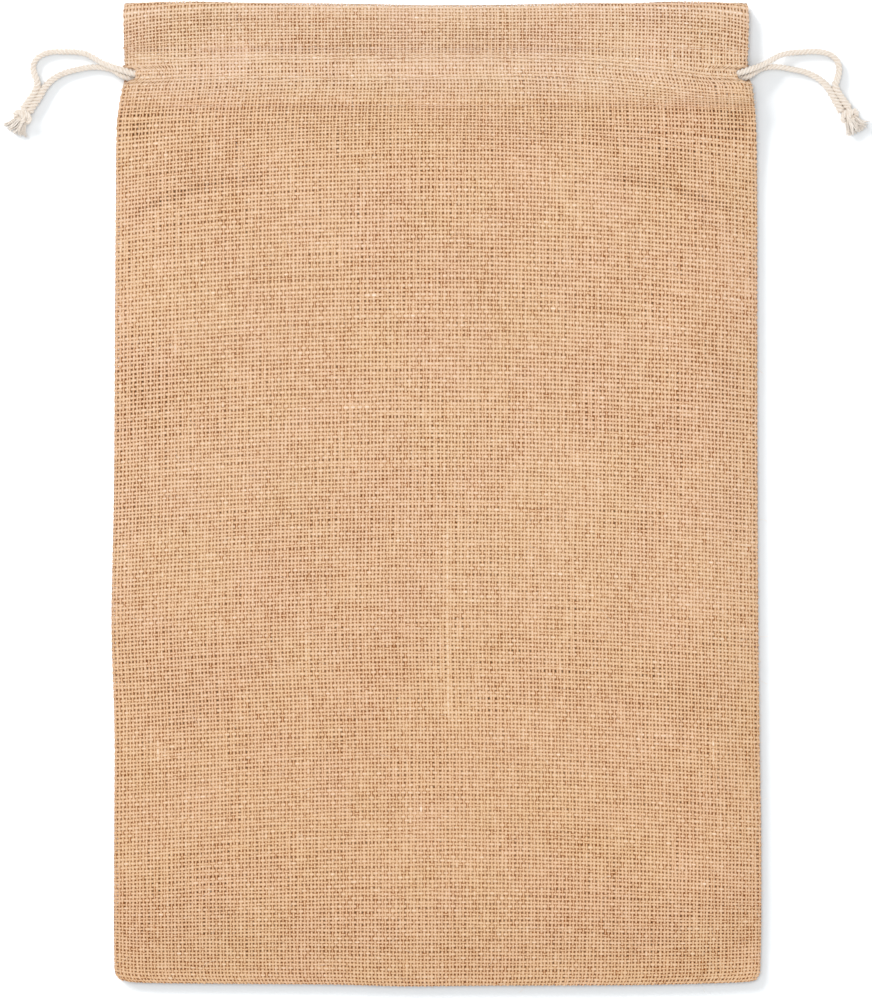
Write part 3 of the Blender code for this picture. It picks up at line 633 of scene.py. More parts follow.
class Weave:
    """The crossings of a panel's yarns, and what varies from yarn to yarn and along them.

    Arrays run over lengthwise yarns first and crosswise yarns second. Both have one place more at
    each end, for the edges of the cloth.
    """

    def __init__(self, panel, cloth):
        rng = np.random.default_rng(panel.seed)
        self.lay(rng, panel, cloth)
        self.vary(rng, panel, cloth)
        self.open_needle_holes()

    def lay(self, rng, panel, cloth):
        """Where the yarns cross, and which of the two is on top."""
        places = uneven_places(rng, cloth.lengthwise_yarns, cloth.unevenness)
        shares = np.concatenate([[0.0], places, [1.0]])
        lengths = np.concatenate([[0.0], weft_lengths(rng, cloth.unevenness), [CUT_LENGTH]])
        size = self.size = (len(shares), len(lengths))
        share, length = np.meshgrid(shares, lengths, indexing="ij")
        share = share + cloth.wander / CUT_WIDTH * drift(rng, *size, WANDER_REACH)
        share[0], share[-1] = 0.0, 1.0
        length = length + cloth.wander * drift(rng, *size[::-1], WANDER_REACH).T
        length[:, 0], length[:, -1] = 0.0, CUT_LENGTH
        self.length = length
        self.points = cloth_points(panel, share, bowed(share, length))
        self.across, self.down = np.gradient(self.points, axis=0), np.gradient(self.points, axis=1)
        normal = np.cross(self.across, self.down)
        self.normal = panel.outward * normal / np.linalg.norm(normal, axis=-1, keepdims=True)
        over = np.indices(size).sum(axis=0) % 2 * 2.0 - 1.0
        self.over = {"warp": over, "weft": -over}

    def vary(self, rng, panel, cloth):
        """How pale and how full the yarns are at each crossing."""
        sizes = {"warp": self.size, "weft": self.size[::-1]}
        full = {"warp": cloth.warp_fullness, "weft": cloth.weft_fullness}
        outer = self.length < OUTER_LENGTH
        opened = panel.openness(self.points[..., 0], self.points[..., 1]) * outer
        opened = opened + cloth.patchiness * clouds(rng, self.size, PATCH_REACH)
        # the panel's paleness, less the painted shade where the weave lies open
        paler = panel.paleness(self.points[..., 0], self.length) * outer - OPEN_SHADE * opened
        thinner = 1.0 - OPENING * opened + panel.closer
        self.tone, self.fullness = {}, {}
        for kind, streaks, pale, dip_shade in WEAVE_TONES:
            tones = self.grid(kind, self.tones(rng, sizes[kind], cloth, streaks))
            # painted shade where a yarn dips under another; `paler` also holds the painted shade of open
            # weave
            self.tone[kind] = tones + paler + pale - dip_shade * (self.over[kind] < 0)
        for kind, streaks, _, _ in WEAVE_TONES:
            thickness = self.grid(kind, self.thickness(rng, sizes[kind], cloth, streaks))
            self.fullness[kind] = full[kind] * thinner * thickness

    def grid(self, kind, values):
        """Turns values between the weave's own rows and one yarn to a row."""
        return values if kind == "warp" else values.swapaxes(0, 1)

    def tones(self, rng, size, cloth, streaks):
        """How pale each yarn is at each crossing, about 0."""
        yarn = rng.normal(size=(size[0], 1)) + YARN_TONE * drift(rng, *size, YARN_TONE_REACH)
        fleck = np.maximum(0.0, drift(rng, *size, FLECK_REACH) - FLECK_FROM)
        tone = streaks * yarn + SHORT_TONE * drift(rng, *size, SHORT_TONE_REACH)
        return cloth.tone_spread * (tone + CROSSING_TONE * rng.normal(size=size) + FLECK_TONE * fleck)

    def thickness(self, rng, size, cloth, streaks):
        """How thick each yarn is at each crossing, about 1."""
        spread = 2.0 * streaks * rng.normal(size=(size[0], 1))
        for amount, reach in THICKNESS_DRIFTS:
            spread = spread + amount * drift(rng, *size, reach)
        slub = np.maximum(0.0, drift(rng, *size, SLUB_REACH) - SLUB_FROM)
        return np.clip(1.0 + cloth.thickness_spread * spread + SLUB_THICKNESS * slub, *THICKNESS_LIMITS)

    def open_needle_holes(self):
        """The yarns beside the needle holes of both stitch lines are pushed apart."""
        length = self.length[self.size[0] // 2]
        for line in STITCH_LINES:
            row = int(np.argmin(np.abs(BOTTOM + length - line)[length < OUTER_LENGTH]))
            for columns in (slice(None), slice(None, None, 2)):
                self.fullness["weft"][columns, row - 1 : row + 1] *= 1.0 - 0.5 * NEEDLE_HOLES

    def add_slubs(self):
        on_outer = int(np.argmax(self.length[self.size[0] // 2] > OUTER_LENGTH))
        for kind, start, end, place, fuller, paler in SLUBS:
            parts = [part[:, :on_outer] for part in (self.points, self.fullness[kind], self.tone[kind])]
            if kind == "warp":
                parts = [part.swapaxes(0, 1) for part in parts]
            points, fullness, tone = parts
            run_axis = 0 if kind == "weft" else 1
            middle = np.argmin(np.abs(points[:, points.shape[1] // 2, run_axis] - 0.5 * (start + end)))
            yarn = np.argmin(np.abs(points[middle, :, 1 - run_axis] - place))
            run = points[:, yarn, run_axis]
            share = eased((run - start) / SLUB_END) * eased((end - run) / SLUB_END)
            fullness[:, yarn] *= 1.0 + fuller * share
            tone[:, yarn] += paler * share

    def yarns(self, kind, columns, rows):
        """The centres, half-widths, tones and so on of one piece's yarns, one yarn to a row."""
        at = (columns, rows)
        side = self.across if kind == "warp" else self.down
        pitch = np.linalg.norm(side, axis=-1, keepdims=True)
        over = self.over[kind][..., None]
        centre = self.points + self.normal * (YARN_LIFT + YARN_CRIMP * over)
        half = 0.5 * pitch * self.fullness[kind][..., None] * (1.0 + YARN_SPREAD * over)
        parts = [centre, side / pitch * half, self.normal, self.tone[kind], self.over[kind] < 0]
        return [self.grid(kind, part[at]) for part in parts]


def roofs(yarns):
    """Points, faces, tones and valley rings of yarns as narrow roofs, three points to a ring."""
    centre, half, up, tone, valley = yarns
    eave = centre - up * YARN_ARCH
    points = np.stack([eave - half, centre, eave + half], axis=2)
    index = np.arange(points[..., 0].size).reshape(points.shape[:3])
    corners = (index[:, :-1, :-1], index[:, :-1, 1:], index[:, 1:, 1:], index[:, 1:, :-1])
    faces = np.stack(corners, axis=-1).reshape(-1, 4)
    # painted shade along each yarn's two sides, its eaves
    tones = np.stack([tone - EAVE_SHADE, tone, tone - EAVE_SHADE], axis=2)
    return points.reshape(-1, 3), faces, tones.ravel(), valley.ravel()


def mesh_piece(name, points, faces, tones, finish):
    """A smooth-shaded piece from points in millimetres, with how pale it is at each point."""
    mesh = bpy.data.meshes.new(name)
    mesh.from_pydata((np.asarray(points) * MM).tolist(), [], faces)
    mesh.shade_smooth()
    tone = mesh.attributes.new("tone", "FLOAT", "POINT")
    tone.data.foreach_set("value", np.asarray(tones, np.float32))
    mesh.materials.append(finish)
    piece = bpy.data.objects.new(name, mesh)
    bpy.context.scene.collection.objects.link(piece)
    return piece


def yarn_piece(name, bundles, finish):
    """One piece of cloth yarns. Each yarn's shading breaks only where it passes under another."""
    points, faces, tones, valleys = zip(*(roofs(bundle) for bundle in bundles))
    starts = np.cumsum([0] + [len(part) for part in points])
    faces = [part + start for part, start in zip(faces, starts)]
    points, faces, tones, valleys = (np.concatenate(parts) for parts in (points, faces, tones, valleys))
    piece = mesh_piece(name, points, faces.tolist(), tones, finish)
    edges = piece.data.edges
    ends = np.empty(2 * len(edges), np.int32)
    edges.foreach_get("vertices", ends)
    ring = ends.reshape(-1, 2) // 3
    edges.foreach_set("use_edge_sharp", (ring[:, 0] == ring[:, 1]) & valleys[ring[:, 0]])
    return piece


# ---------------------------------------------------------------- cords, knots and threads


def smooth_route(points, step):
    """Points about `step` apart on a smooth curve through the given ones."""
    points = [Vector(p) for p in points]
    result = []
    last = len(points) - 1
    for k in range(last):
        before, here, there, after = (points[min(max(k + i, 0), last)] for i in (-1, 0, 1, 2))
        slopes = (there - before) / 2, (after - here) / 2
        pieces = max(1, round((there - here).length / step))
        result += [cubic(here, there, *slopes, i / pieces) for i in range(pieces)]
    return result + [points[last]]


def frames_along(route):
    """A normal and a binormal at each point, carried along without spin."""
    frames = []
    normal = None
    for k in range(len(route)):
        tangent = (route[min(k + 1, len(route) - 1)] - route[max(k - 1, 0)]).normalized()
        if normal is None:
            normal = tangent.orthogonal().normalized()
        normal = (normal - tangent * normal.dot(tangent)).normalized()
        frames.append((normal, tangent.cross(normal)))
    return frames


def step_lengths(route):
    return [(b - a).length for a, b in zip(route, route[1:])]


def spoke(frame, angle):
    """The direction at an angle round a route, where its frame is a normal and a binormal."""
    normal, binormal = frame
    return normal * math.cos(angle) + binormal * math.sin(angle)


class Strands:
    """Tubes gathered into one mesh, each through rings of points."""

    def __init__(self):
        self.points, self.faces, self.tones = [], [], []

    def tube(self, centres, frames, radii, sides, tones):
        """A closed tube; `tones` has one value, or one to a corner, for each ring."""
        start = len(self.points)
        for centre, frame, radius, tone in zip(centres, frames, radii, tones):
            for corner in range(sides):
                self.points.append(centre + spoke(frame, 2 * math.pi * corner / sides) * radius)
                self.tones.append(tone if np.isscalar(tone) else tone[corner])
        last = start + (len(centres) - 1) * sides
        for ring in range(start, last, sides):
            for corner in range(sides):
                after, above = (corner + 1) % sides, ring + sides
                self.faces.append((ring + corner, ring + after, above + after, above + corner))
        self.faces.append(tuple(range(start, start + sides))[::-1])
        self.faces.append(tuple(range(last, last + sides)))

    def thread(self, centres, radius, sides, tone):
        """A tube of one thickness and tone."""
        count = len(centres)
        self.tube(centres, frames_along(centres), [radius] * count, sides, [tone] * count)

    def twisted(self, route, rng, hand, sides=8, fuller=(0.0, 0.0)):
        """A cord of three plies that wind round the route to one `hand`, each with its own fine twist drawn
        in painted shade.

        `fuller` is by what share the cord is thicker at its first and at its last point.
        """
        frames = frames_along(route)
        lengths = step_lengths(route)
        reached = np.cumsum([0.0] + lengths)
        shares = [1.0 - reached / SLIT_FULLER_REACH, 1.0 - (reached[-1] - reached) / KNOT_FULLER_REACH]
        swelling = 1.0 + fuller[0] * eased(shares[0]) + fuller[1] * eased(shares[1])
        turns = np.cumsum([0.0] + [hand * 2 * math.pi * length / CORD_LAY for length in lengths])
        round_it = [4 * math.pi * corner / sides for corner in range(sides)]
        for which in range(3):
            centres, tones = [], []
            for point, frame, turn, swollen in zip(route, frames, turns, swelling):
                out = spoke(frame, turn + which * 2 * math.pi / 3)
                half = swollen * CORD / 2
                clear = Vector((point.x, point.y, max(point.z, half)))
                centres.append(clear + out * (1.0 - PLY_FULLNESS) * half)
                # painted shade in the grooves between a ply's yarns, wound along the cord
                fine = [YARN_GROOVE_SHADE * math.sin(angle - YARN_TURNS * turn) for angle in round_it]
                shade = PLY_TONE * rng.normal()
                tones.append([shade + part for part in fine])
            uneven = [1.0 + PLY_UNEVEN * rng.normal() for _ in swelling]
            radii = [PLY_FULLNESS * swollen * CORD / 2 * part for swollen, part in zip(swelling, uneven)]
            self.tube(centres, frames, radii, sides, tones)

    def fuzz(self, route, rng):
        """Short hairs that stand out of a cord all round."""
        frames = frames_along(route)
        for _ in range(int(CORD_FUZZ * sum(step_lengths(route)))):
            k = int(rng.integers(1, len(route) - 1))
            out = spoke(frames[k], 2 * math.pi * rng.random())
            ahead = (route[k + 1] - route[k - 1]).normalized()
            lean = ahead * rng.normal() + frames[k][0] * 0.5 * rng.normal()
            root = route[k] + out * CORD * FUZZ_ROOT
            reach = rng.uniform(*FUZZ_REACH)
            middle, tip = (out + 0.3 * lean) * 0.5 * reach, (0.8 * out + 0.8 * lean) * reach
            centres = [root, root + middle, root + tip]
            for centre in centres:
                centre.z = max(centre.z, FUZZ)
            self.thread(centres, FUZZ, 3, FUZZ_TONE)

    def piece(self, name, finish):
        return mesh_piece(name, [tuple(p) for p in self.points], self.faces, self.tones, finish)


def held_route(side):
    """A drawcord's way through the casings, from its upper strand round to its lower one."""
    run = lower_run if side < 0 else upper_run
    over, under = STRANDS["left" if side < 0 else "right"]
    rise = CLOTH / 2 + GAP + CORD / 2

    def front_height(x):
        return float(front_inner(x, run(x), True)) + rise

    start = side * (RUN_END - HELD_FROM)
    places = np.linspace(start, -start, HELD_POINTS)
    forth = [(x, float(run(x)), front_height(x)) for x in places]
    back = [(x, float(run(x)), FLOOR_PLY + rise) for x in places[::-1]]
    far = float(run(-side * RUN_END))
    edge = float(left_edge(far)) + TURN_CENTRE if side > 0 else float(right_edge(far)) - TURN_CENTRE
    top, low = front_height(edge), FLOOR_PLY + rise
    turn = []
    for angle in np.linspace(0.0, np.pi, TURN_POINTS):
        out = edge - side * 0.5 * (top - low) * math.sin(angle)
        turn.append((out, far, 0.5 * (top + low) + 0.5 * (top - low) * math.cos(angle)))
    return [over[0]] + forth + turn + back + [under[0]]


def knot_places(which, points):
    """Points of a knot's own axes, in the sack's."""
    x, y, slant, mirrored = KNOTS[which]
    cos, sin = math.cos(math.radians(slant)), math.sin(math.radians(slant))
    placed = []
    for px, py, pz in points:
        turned = (px * cos - py * sin, px * sin + py * cos)
        placed.append((x + (-turned[0] if mirrored else turned[0]), y + turned[1], KNOT_HEIGHT + pz))
    return placed


def fray_routes(rng, count):
    """The frayed yarns of a knot, in its own axes: fanned out of its lower side and down to rest."""
    routes = []
    for k in range(count):
        across = (k + 0.5) / count * 2.0 - 1.0
        fan = math.radians(0.5 * FRAY_SPREAD * across + FRAY_TURN + FRAY_SCATTER * rng.normal())
        layer = rng.random()
        root = FRAY_ROOT * across + FRAY_JITTER * rng.normal()
        start = Vector((root, FRAY_FROM, mix(*FRAY_ROOT_HEIGHTS, layer)))
        length = FRAY_LENGTH * (1.0 - FRAY_SHORTER * rng.random())
        rest = mix(*FRAY_REST_HEIGHTS, layer) - KNOT_HEIGHT
        curl = FRAY_CURL * rng.normal()
        route = []
        for step in range(FRAY_STEPS + 1):
            share = step / FRAY_STEPS
            reach, heading = length * share, fan + 0.5 * (curl * share * share)
            x, y = start.x + math.sin(heading) * reach, start.y - math.cos(heading) * reach
            route.append((x, y, float(mix(start.z, rest, eased(FRAY_DROP * share)))))
        routes.append(route)
    return routes


def stitches(panel):
    """The thread of both stitch lines as it lies on a panel, one short tube to a stitch."""
    thread = Strands()
    for line in STITCH_LINES:
        start, end = float(left_edge(line)) + STITCH_MARGIN, float(right_edge(line)) - STITCH_MARGIN
        for k in range(int((end - start) / STITCH)):
            x = start + (k + 0.5) * STITCH
            y = line + float(ends_shift(x, line))
            on_cloth = float(panel.outer(x, line)) + panel.outward * THREAD_LIFT
            dive = -panel.outward * THREAD_DIVE
            half = 0.5 * STITCH - THREAD
            bend = STITCH_FLAT * half
            shape = ((-half, dive), (-bend, 0.0), (0.0, 0.0), (bend, 0.0), (half, dive))
            centres = [Vector((x + along, y, on_cloth + rise)) for along, rise in shape]
            thread.thread(centres, THREAD / 2, 6, THREAD_TONE)
    return thread


def loose_fibres(panel, rng, count):
    """Fibres that stand a little off a panel's outer side, many of them along its edges."""
    fibres = Strands()
    share, length = rng.random(count), OUTER_LENGTH * rng.random(count)
    at_edge = rng.random(count) < EDGE_FIBRES
    share = np.where(at_edge, np.round(share) + EDGE_FIBRE_INSET * (0.5 - np.round(share)), share)
    outwards = rng.normal(size=count) * EDGE_FIBRE_TURN + np.pi * (share < 0.5)
    heading = np.where(at_edge, outwards, 2 * np.pi * rng.random(count))
    reach = rng.uniform(*FIBRE_REACH, size=count)
    reach = np.where(at_edge, EDGE_FIBRE_REACH * reach, reach)
    bend, rise = rng.normal(size=count), rng.uniform(*FIBRE_RISE, size=count)
    shade = FIBRE_TONE + FIBRE_TONE * rng.normal(size=count)
    steps = np.linspace(0.0, 1.0, FIBRE_STEPS)
    turned = heading[:, None] + bend[:, None] * steps
    out = np.cumsum(np.cos(turned), axis=1) * reach[:, None] / FIBRE_STEPS
    up = np.cumsum(np.sin(turned), axis=1) * reach[:, None] / FIBRE_STEPS
    length = np.minimum(length[:, None] + up, OUTER_LENGTH)
    routes = cloth_points(panel, share[:, None] + out / CUT_WIDTH, length)
    routes[..., 2] += rise[:, None] * (0.2 + np.sin(0.8 * np.pi * steps))
    for route, tone in zip(routes, shade):
        fibres.thread([Vector(point) for point in route], FIBRE, 3, tone)
    return fibres


# ---------------------------------------------------------------- finishes


class Reading:
    """A shader socket's value, which takes part in plain arithmetic."""

    def __init__(self, finish, socket):
        self.finish = finish
        self.socket = socket

    def maths(self, operation, first, second):
        return self.finish.add("ShaderNodeMath", {"operation": operation}, {0: first, 1: second})

    def __add__(self, other):
        return self.maths("ADD", self, other)

    def __radd__(self, other):
        return self.maths("ADD", other, self)

    def __sub__(self, other):
        return self.maths("SUBTRACT", self, other)

    def __rsub__(self, other):
        return self.maths("SUBTRACT", other, self)

    def __mul__(self, other):
        return self.maths("MULTIPLY", self, other)

    def __rmul__(self, other):
        return self.maths("MULTIPLY", other, self)


class Finish:
    """A material and the nodes that feed its shader."""

    def __init__(self, name):
        self.material = bpy.data.materials.new(name)
        self.material.use_nodes = True
        self.tree = self.material.node_tree
        self.shader = self.tree.nodes["Principled BSDF"]

    def add(self, kind, settings=None, inputs=None, output=0):
        """A node, with its settings made first and then the values or links of its sockets."""
        node = self.tree.nodes.new(kind)
        for name, value in (settings or {}).items():
            if name == "stops":
                self.set_stops(node.color_ramp, value)
            else:
                setattr(node, name, value)
        for name, value in (inputs or {}).items():
            self.feed(node.inputs[name], value)
        return Reading(self, node.outputs[output])

    def set_stops(self, ramp, stops):
        while len(ramp.elements) < len(stops):
            ramp.elements.new(1.0)
        for element, (place, colour) in zip(ramp.elements, stops):
            element.position = place
            element.color = (*colour, 1.0)

    def feed(self, socket, value):
        if isinstance(value, Reading):
            self.tree.links.new(value.socket, socket)
        else:
            socket.default_value = value

    def height_along(self):
        place = self.add("ShaderNodeTexCoord", output="Object")
        return self.add("ShaderNodeSeparateXYZ", None, {"Vector": place}, output="Y")

    def noise(self, waves, detail, stretch=(1.0, 1.0, 1.0)):
        """Noise with so many waves to a metre of the sack, drawn out along an axis by `stretch`."""
        place = self.add("ShaderNodeTexCoord", output="Object")
        size = tuple(waves * part for part in stretch)
        placed = self.add("ShaderNodeVectorMath", {"operation": "MULTIPLY"}, {0: place, 1: size})
        return self.add("ShaderNodeTexNoise", None, {"Vector": placed, "Scale": 1.0, "Detail": detail})

    def by_tone(self, stops, plain, fibres, contrast, patches, patchy):
        """Colours by how pale the yarn is, by its own tone, its fibres and its patches."""
        tone = self.add("ShaderNodeAttribute", {"attribute_name": "tone"}, output="Fac")
        level = tone + plain + (fibres - 0.5) * contrast + (patches - 0.5) * patchy
        return self.add("ShaderNodeValToRGB", {"stops": stops}, {"Fac": level})

    def tinted(self, colour, tint, share=1.0):
        settings = {"data_type": "RGBA", "blend_type": "MULTIPLY"}
        return self.add("ShaderNodeMix", settings, {0: share, 6: colour, 7: tint}, output=2)

    def relief(self, height, strength, depth):
        return self.add("ShaderNodeBump", None, {"Strength": strength, "Distance": depth, "Height": height})

    def finished(self, **sockets):
        """The material, once the shader's sockets have their values."""
        for name, value in sockets.items():
            self.feed(self.shader.inputs[name.replace("_", " ")], value)
        return self.material


def jute_finish(name, cloth, along_yarn):
    """Jute yarn: straw to brown by its tone, which holds painted shade too, streaked along its fibres and
    matt.
    """
    finish = Finish(name)
    stretch = (1.0, FIBRE_STRETCH, 1.0) if along_yarn == "Y" else (FIBRE_STRETCH, 1.0, 1.0)
    fibres = finish.noise(FIBRE_WAVES, 2.0, stretch)
    # the shaded colour, used for the painted shade along the yarns' sides
    shaded = tuple(share * part for share, part in zip(SHADED, cloth.jute))
    colours = (tuple(cloth.dark_jute_and_shade), shaded, tuple(cloth.jute), tuple(cloth.pale_jute))
    patches = finish.noise(PATCH_WAVES, 3.0)
    stops = tuple(zip(JUTE_STOPS, colours))
    colour = finish.by_tone(stops, JUTE_STOPS[2], fibres, cloth.fibre_contrast, patches, PATCHY)
    hem, foot = (HEM_STITCH, lower_run(0.0)), (FOOT_TINT_FROM, FOOT_TINT_TO)
    for tint, (start, full) in ((HEM_TINT, hem), (FOOT_TINT, foot)):
        reach = {"Value": finish.height_along(), "From Min": start * MM, "From Max": full * MM}
        there = finish.add("ShaderNodeMapRange", None, reach)
        colour = finish.tinted(colour, (*tint, 1.0), there)
    hues = finish.add("ShaderNodeValToRGB", {"stops": HUES}, {"Fac": finish.noise(HUE_WAVES, 3.0)})
    return finish.finished(
        Base_Color=finish.tinted(colour, hues),
        Normal=finish.relief(fibres, 0.5, FIBRE_DEPTH),
        Roughness=0.72 + fibres * 0.2,
        Specular_IOR_Level=0.05,
    )


def cotton_finish(cords):
    """Cream cotton: soft and matt, a little darker between its yarns, which is painted shade."""
    finish = Finish("cream_cotton")
    lint, patches = finish.noise(LINT_WAVES, 3.0), finish.noise(COTTON_PATCH_WAVES, 2.0)
    colours = (tuple(cords.dark_and_shaded_cotton), tuple(cords.cotton), tuple(cords.pale_cotton))
    stops = tuple(zip(COTTON_STOPS, colours))
    return finish.finished(
        Base_Color=finish.by_tone(stops, COTTON_STOPS[1], lint, LINTY, patches, COTTON_PATCHY),
        Normal=finish.relief(lint, 0.4, LINT_DEPTH),
        Roughness=0.8 + lint * 0.15,
        Specular_IOR_Level=0.25,
        Sheen_Weight=0.15,
    )


def floor_finish(stage):
    finish = Finish("studio_floor")
    return finish.finished(Base_Color=(*stage.floor_colour, 1.0), Roughness=0.9, Specular_IOR_Level=0.0)


# ---------------------------------------------------------------- settings


def counted(name, description, least, default, most):
    return bpy.props.IntProperty(name=name, description=description, default=default, min=least, max=most)


def measured(name, description, least, default, most, **kind):
    """A number from `least` to `most`, whose `kind` is its subtype or unit."""
    return bpy.props.FloatProperty(
        name=name, description=description, default=default, min=least, max=most, **kind
    )


def coloured(name, description, *default):
    return bpy.props.FloatVectorProperty(
        name=name, description=description, default=default, min=0, max=1, subtype="COLOR"
    )


SHARE, POWER, LENGTH = {"subtype": "FACTOR"}, {"unit": "POWER"}, {"unit": "LENGTH"}
WIDTH_SHARE = "Width of a {} yarn beside its spacing"


class JuteClothSettings(bpy.types.PropertyGroup):
    lengthwise_yarns: counted("Lengthwise yarns", "Yarns counted across one panel", 20, 184, 184)
    warp_fullness: measured("Lengthwise fullness", WIDTH_SHARE.format("lengthwise"), 0.3, 0.78, 1, **SHARE)
    weft_fullness: measured("Crosswise fullness", WIDTH_SHARE.format("crosswise"), 0.3, 0.74, 1, **SHARE)
    patchiness: measured("Patchiness", "How much more open the weave lies in some patches", 0, 0.03, 1)
    unevenness: measured("Unevenness", "How much the yarns' spacing varies", 0, 0.04, 0.3)
    wander: measured("Wander", "How far a yarn strays from its line, in millimetres", 0, 0.13, 0.5)
    thickness_spread: measured("Thickness spread", "How much the yarns' thickness varies", 0, 0.08, 0.5)
    tone_spread: measured("Tone spread", "How much the yarns differ in how pale they are", 0, 0.07, 0.5)
    fibre_contrast: measured("Fibre contrast", "How strongly single fibres show", 0, 0.6, 1)
    loose_fibres: counted("Loose fibres", "Fibres that stand off the front", 0, 1500, 4000)
    # the darkest colour shows mostly as painted shade along the yarns' sides and where they dip under
    dark_jute_and_shade: coloured("Dark jute", "Colour of the darkest yarns", 0.28, 0.075, 0.005)
    jute: coloured("Jute", "Colour of most yarns", 0.772, 0.54, 0.375)
    pale_jute: coloured("Pale jute", "Colour of the palest yarns", 1.0, 0.92, 0.81)


class DrawcordSettings(bpy.types.PropertyGroup):
    step: measured("Step", "Spacing of the rings of a loose strand, in millimetres", 0.2, 0.45, 2)
    # the colour in the cord's hollows is painted shade
    dark_and_shaded_cotton: coloured("Dark cotton", "Colour in the cord's hollows", 0.60, 0.48, 0.37)
    cotton: coloured("Cotton", "Colour of the cord", 0.80, 0.715, 0.63)
    pale_cotton: coloured("Pale cotton", "Colour of the cord's highest yarns", 0.88, 0.82, 0.76)


class StageSettings(bpy.types.PropertyGroup):
    floor_colour: coloured("Floor colour", "Colour of the studio floor", 0.71, 0.72, 0.73)
    sky_strength: measured("Sky strength", "Light from all round", 0, 0.9, 5)
    lamp_power: measured("Lamp power", "Power of the soft lamp at the upper left", 0, 20, 500, **POWER)
    floor_lamp_power: measured("Floor lamp power", "Power of the floor's own low lamp", 0, 176, 500, **POWER)
    lamp_size: measured("Lamp size", "Width of both soft lamps", 0.05, 1.2, 5, **LENGTH)


# ---------------------------------------------------------------- operators


def settle(piece, node):
    """Rides a piece on the sack, and hides the solid that it replaces."""
    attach(piece, BODY)
    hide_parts(node)
    return piece


def jute(scene, along_yarn):
    """The finish of yarns that run along the sack or across it, shared by both panels."""
    name = {"Y": "lengthwise_jute", "X": "crosswise_jute"}[along_yarn]
    return bpy.data.materials.get(name) or jute_finish(name, scene.sack_cloth, along_yarn)


class SACK_OT_set_camera(bpy.types.Operator):
    """Places a camera straight above the sack"""

    bl_idname = "sack.set_camera"
    bl_label = "Set camera"

    def execute(self, context):
        lens = bpy.data.cameras.new("camera")
        lens.sensor_width = SENSOR
        lens.lens = SENSOR * EYE_HEIGHT / (max(PICTURE) * PIXEL)
        lens.clip_end = SEEN_TO
        camera = bpy.data.objects.new("camera", lens)
        camera.location = [place * MM for place in (*PICTURE_MIDDLE, EYE_HEIGHT)]
        context.scene.collection.objects.link(camera)
        context.scene.camera = camera
        return {"FINISHED"}


class SACK_OT_lay_drawcords(bpy.types.Operator):
    """Lays both drawcords through their casings and out to their knots"""

    bl_idname = "sack.lay_drawcords"
    bl_label = "Lay drawcords"

    def execute(self, context):
        cords = context.scene.sack_cords
        finish, step = cotton_finish(cords), cords.step
        for side, which in ((-1, "left"), (1, "right")):
            rng = np.random.default_rng(CORD_SEED + side)
            node = f"{which}_cord"
            knot = self.tie(which, rng, -side, finish, step)
            for strand, points in zip(("over", "under"), STRANDS[which]):
                route = smooth_route(points, step)
                loose = Strands()
                loose.twisted(route, rng, -side, fuller=(SLIT_FULLER, KNOT_FULLER))
                loose.fuzz(route, rng)
                piece = settle(loose.piece(f"{node}_{strand}", finish), node)
                [c * MM for c in points[0]]
                sum(step_lengths(route)) * MM
                [[c * MM for c in p] for p in route]
            held = Strands()
            held.twisted(smooth_route(held_route(side), HELD_STEP), rng, -side, sides=HELD_SIDES)
            settle(held.piece(f"{node}_in_casing", finish), node)
        return {"FINISHED"}

    def tie(self, which, rng, hand, finish, step):
        """The knot of both strands' ends, with its frayed yarns."""
        knot = Strands()
        for turns in (KNOT_TURNS, KNOT_TAIL):
            knot.twisted(smooth_route(knot_places(which, turns), step), rng, hand)
        for count, radius, sides in FRAY:
            for route in fray_routes(rng, count):
                centres = smooth_route(knot_places(which, route), FRAY_STEP)
                radii = [radius * (1.1 - 0.5 * k / len(centres)) for k in range(len(centres))]
                tones = [FRAY_TONE + FRAY_TONE_SPREAD * rng.normal()] * len(centres)
                knot.tube(centres, frames_along(centres), radii, sides, tones)
        return settle(knot.piece(f"{which}_knot_and_fray", finish), f"{which}_knot")


def weave_panel(context, name, panel, node):
    """The cloth of one panel: lengthwise yarns, crosswise yarns and the turned-in hem."""
    scene = context.scene
    weave = Weave(panel, scene.sack_cloth)
    if panel.outward > 0:
        weave.add_slubs()
    columns, rows = weave.size
    fold = int(np.argmax(weave.length[columns // 2] > OUTER_LENGTH + 0.5 * FOLD_LENGTH))
    inside, whole = slice(1, columns - 1), slice(0, columns)
    lengthwise = weave.yarns("warp", inside, slice(0, fold + 1))
    crosswise = weave.yarns("weft", whole, slice(1, fold + 1))
    turned = (
        weave.yarns("warp", inside, slice(fold, rows)),
        weave.yarns("weft", whole, slice(fold + 1, rows - 1)),
    )
    warp_finish, weft_finish = jute(scene, "Y"), jute(scene, "X")
    pieces = [
        yarn_piece(f"{name}_lengthwise_yarns", [lengthwise], warp_finish),
        yarn_piece(f"{name}_crosswise_yarns", [crosswise], weft_finish),
        yarn_piece(f"{name}_turned_in_hem", turned, weft_finish),
    ]
    for piece in pieces:
        settle(piece, node)
    sewn = settle(stitches(panel).piece(f"{name}_stitches", warp_finish), node)


class SACK_OT_weave_front(bpy.types.Operator):
    """Weaves the front panel with its hem"""

    bl_idname = "sack.weave_front"
    bl_label = "Weave front"

    def execute(self, context):
        scene = context.scene
        panel = FrontPanel()
        weave_panel(context, "front", panel, "front_panel")
        fibres = loose_fibres(panel, np.random.default_rng(FIBRE_SEED), scene.sack_cloth.loose_fibres)
        settle(fibres.piece("loose_fibres", jute(scene, "Y")), "front_panel")
        return {"FINISHED"}


class SACK_OT_weave_back(bpy.types.Operator):
    """Weaves the back panel with its hem"""

    bl_idname = "sack.weave_back"
    bl_label = "Weave back"

    def execute(self, context):
        weave_panel(context, "back", BackPanel(), "back_panel")
        return {"FINISHED"}


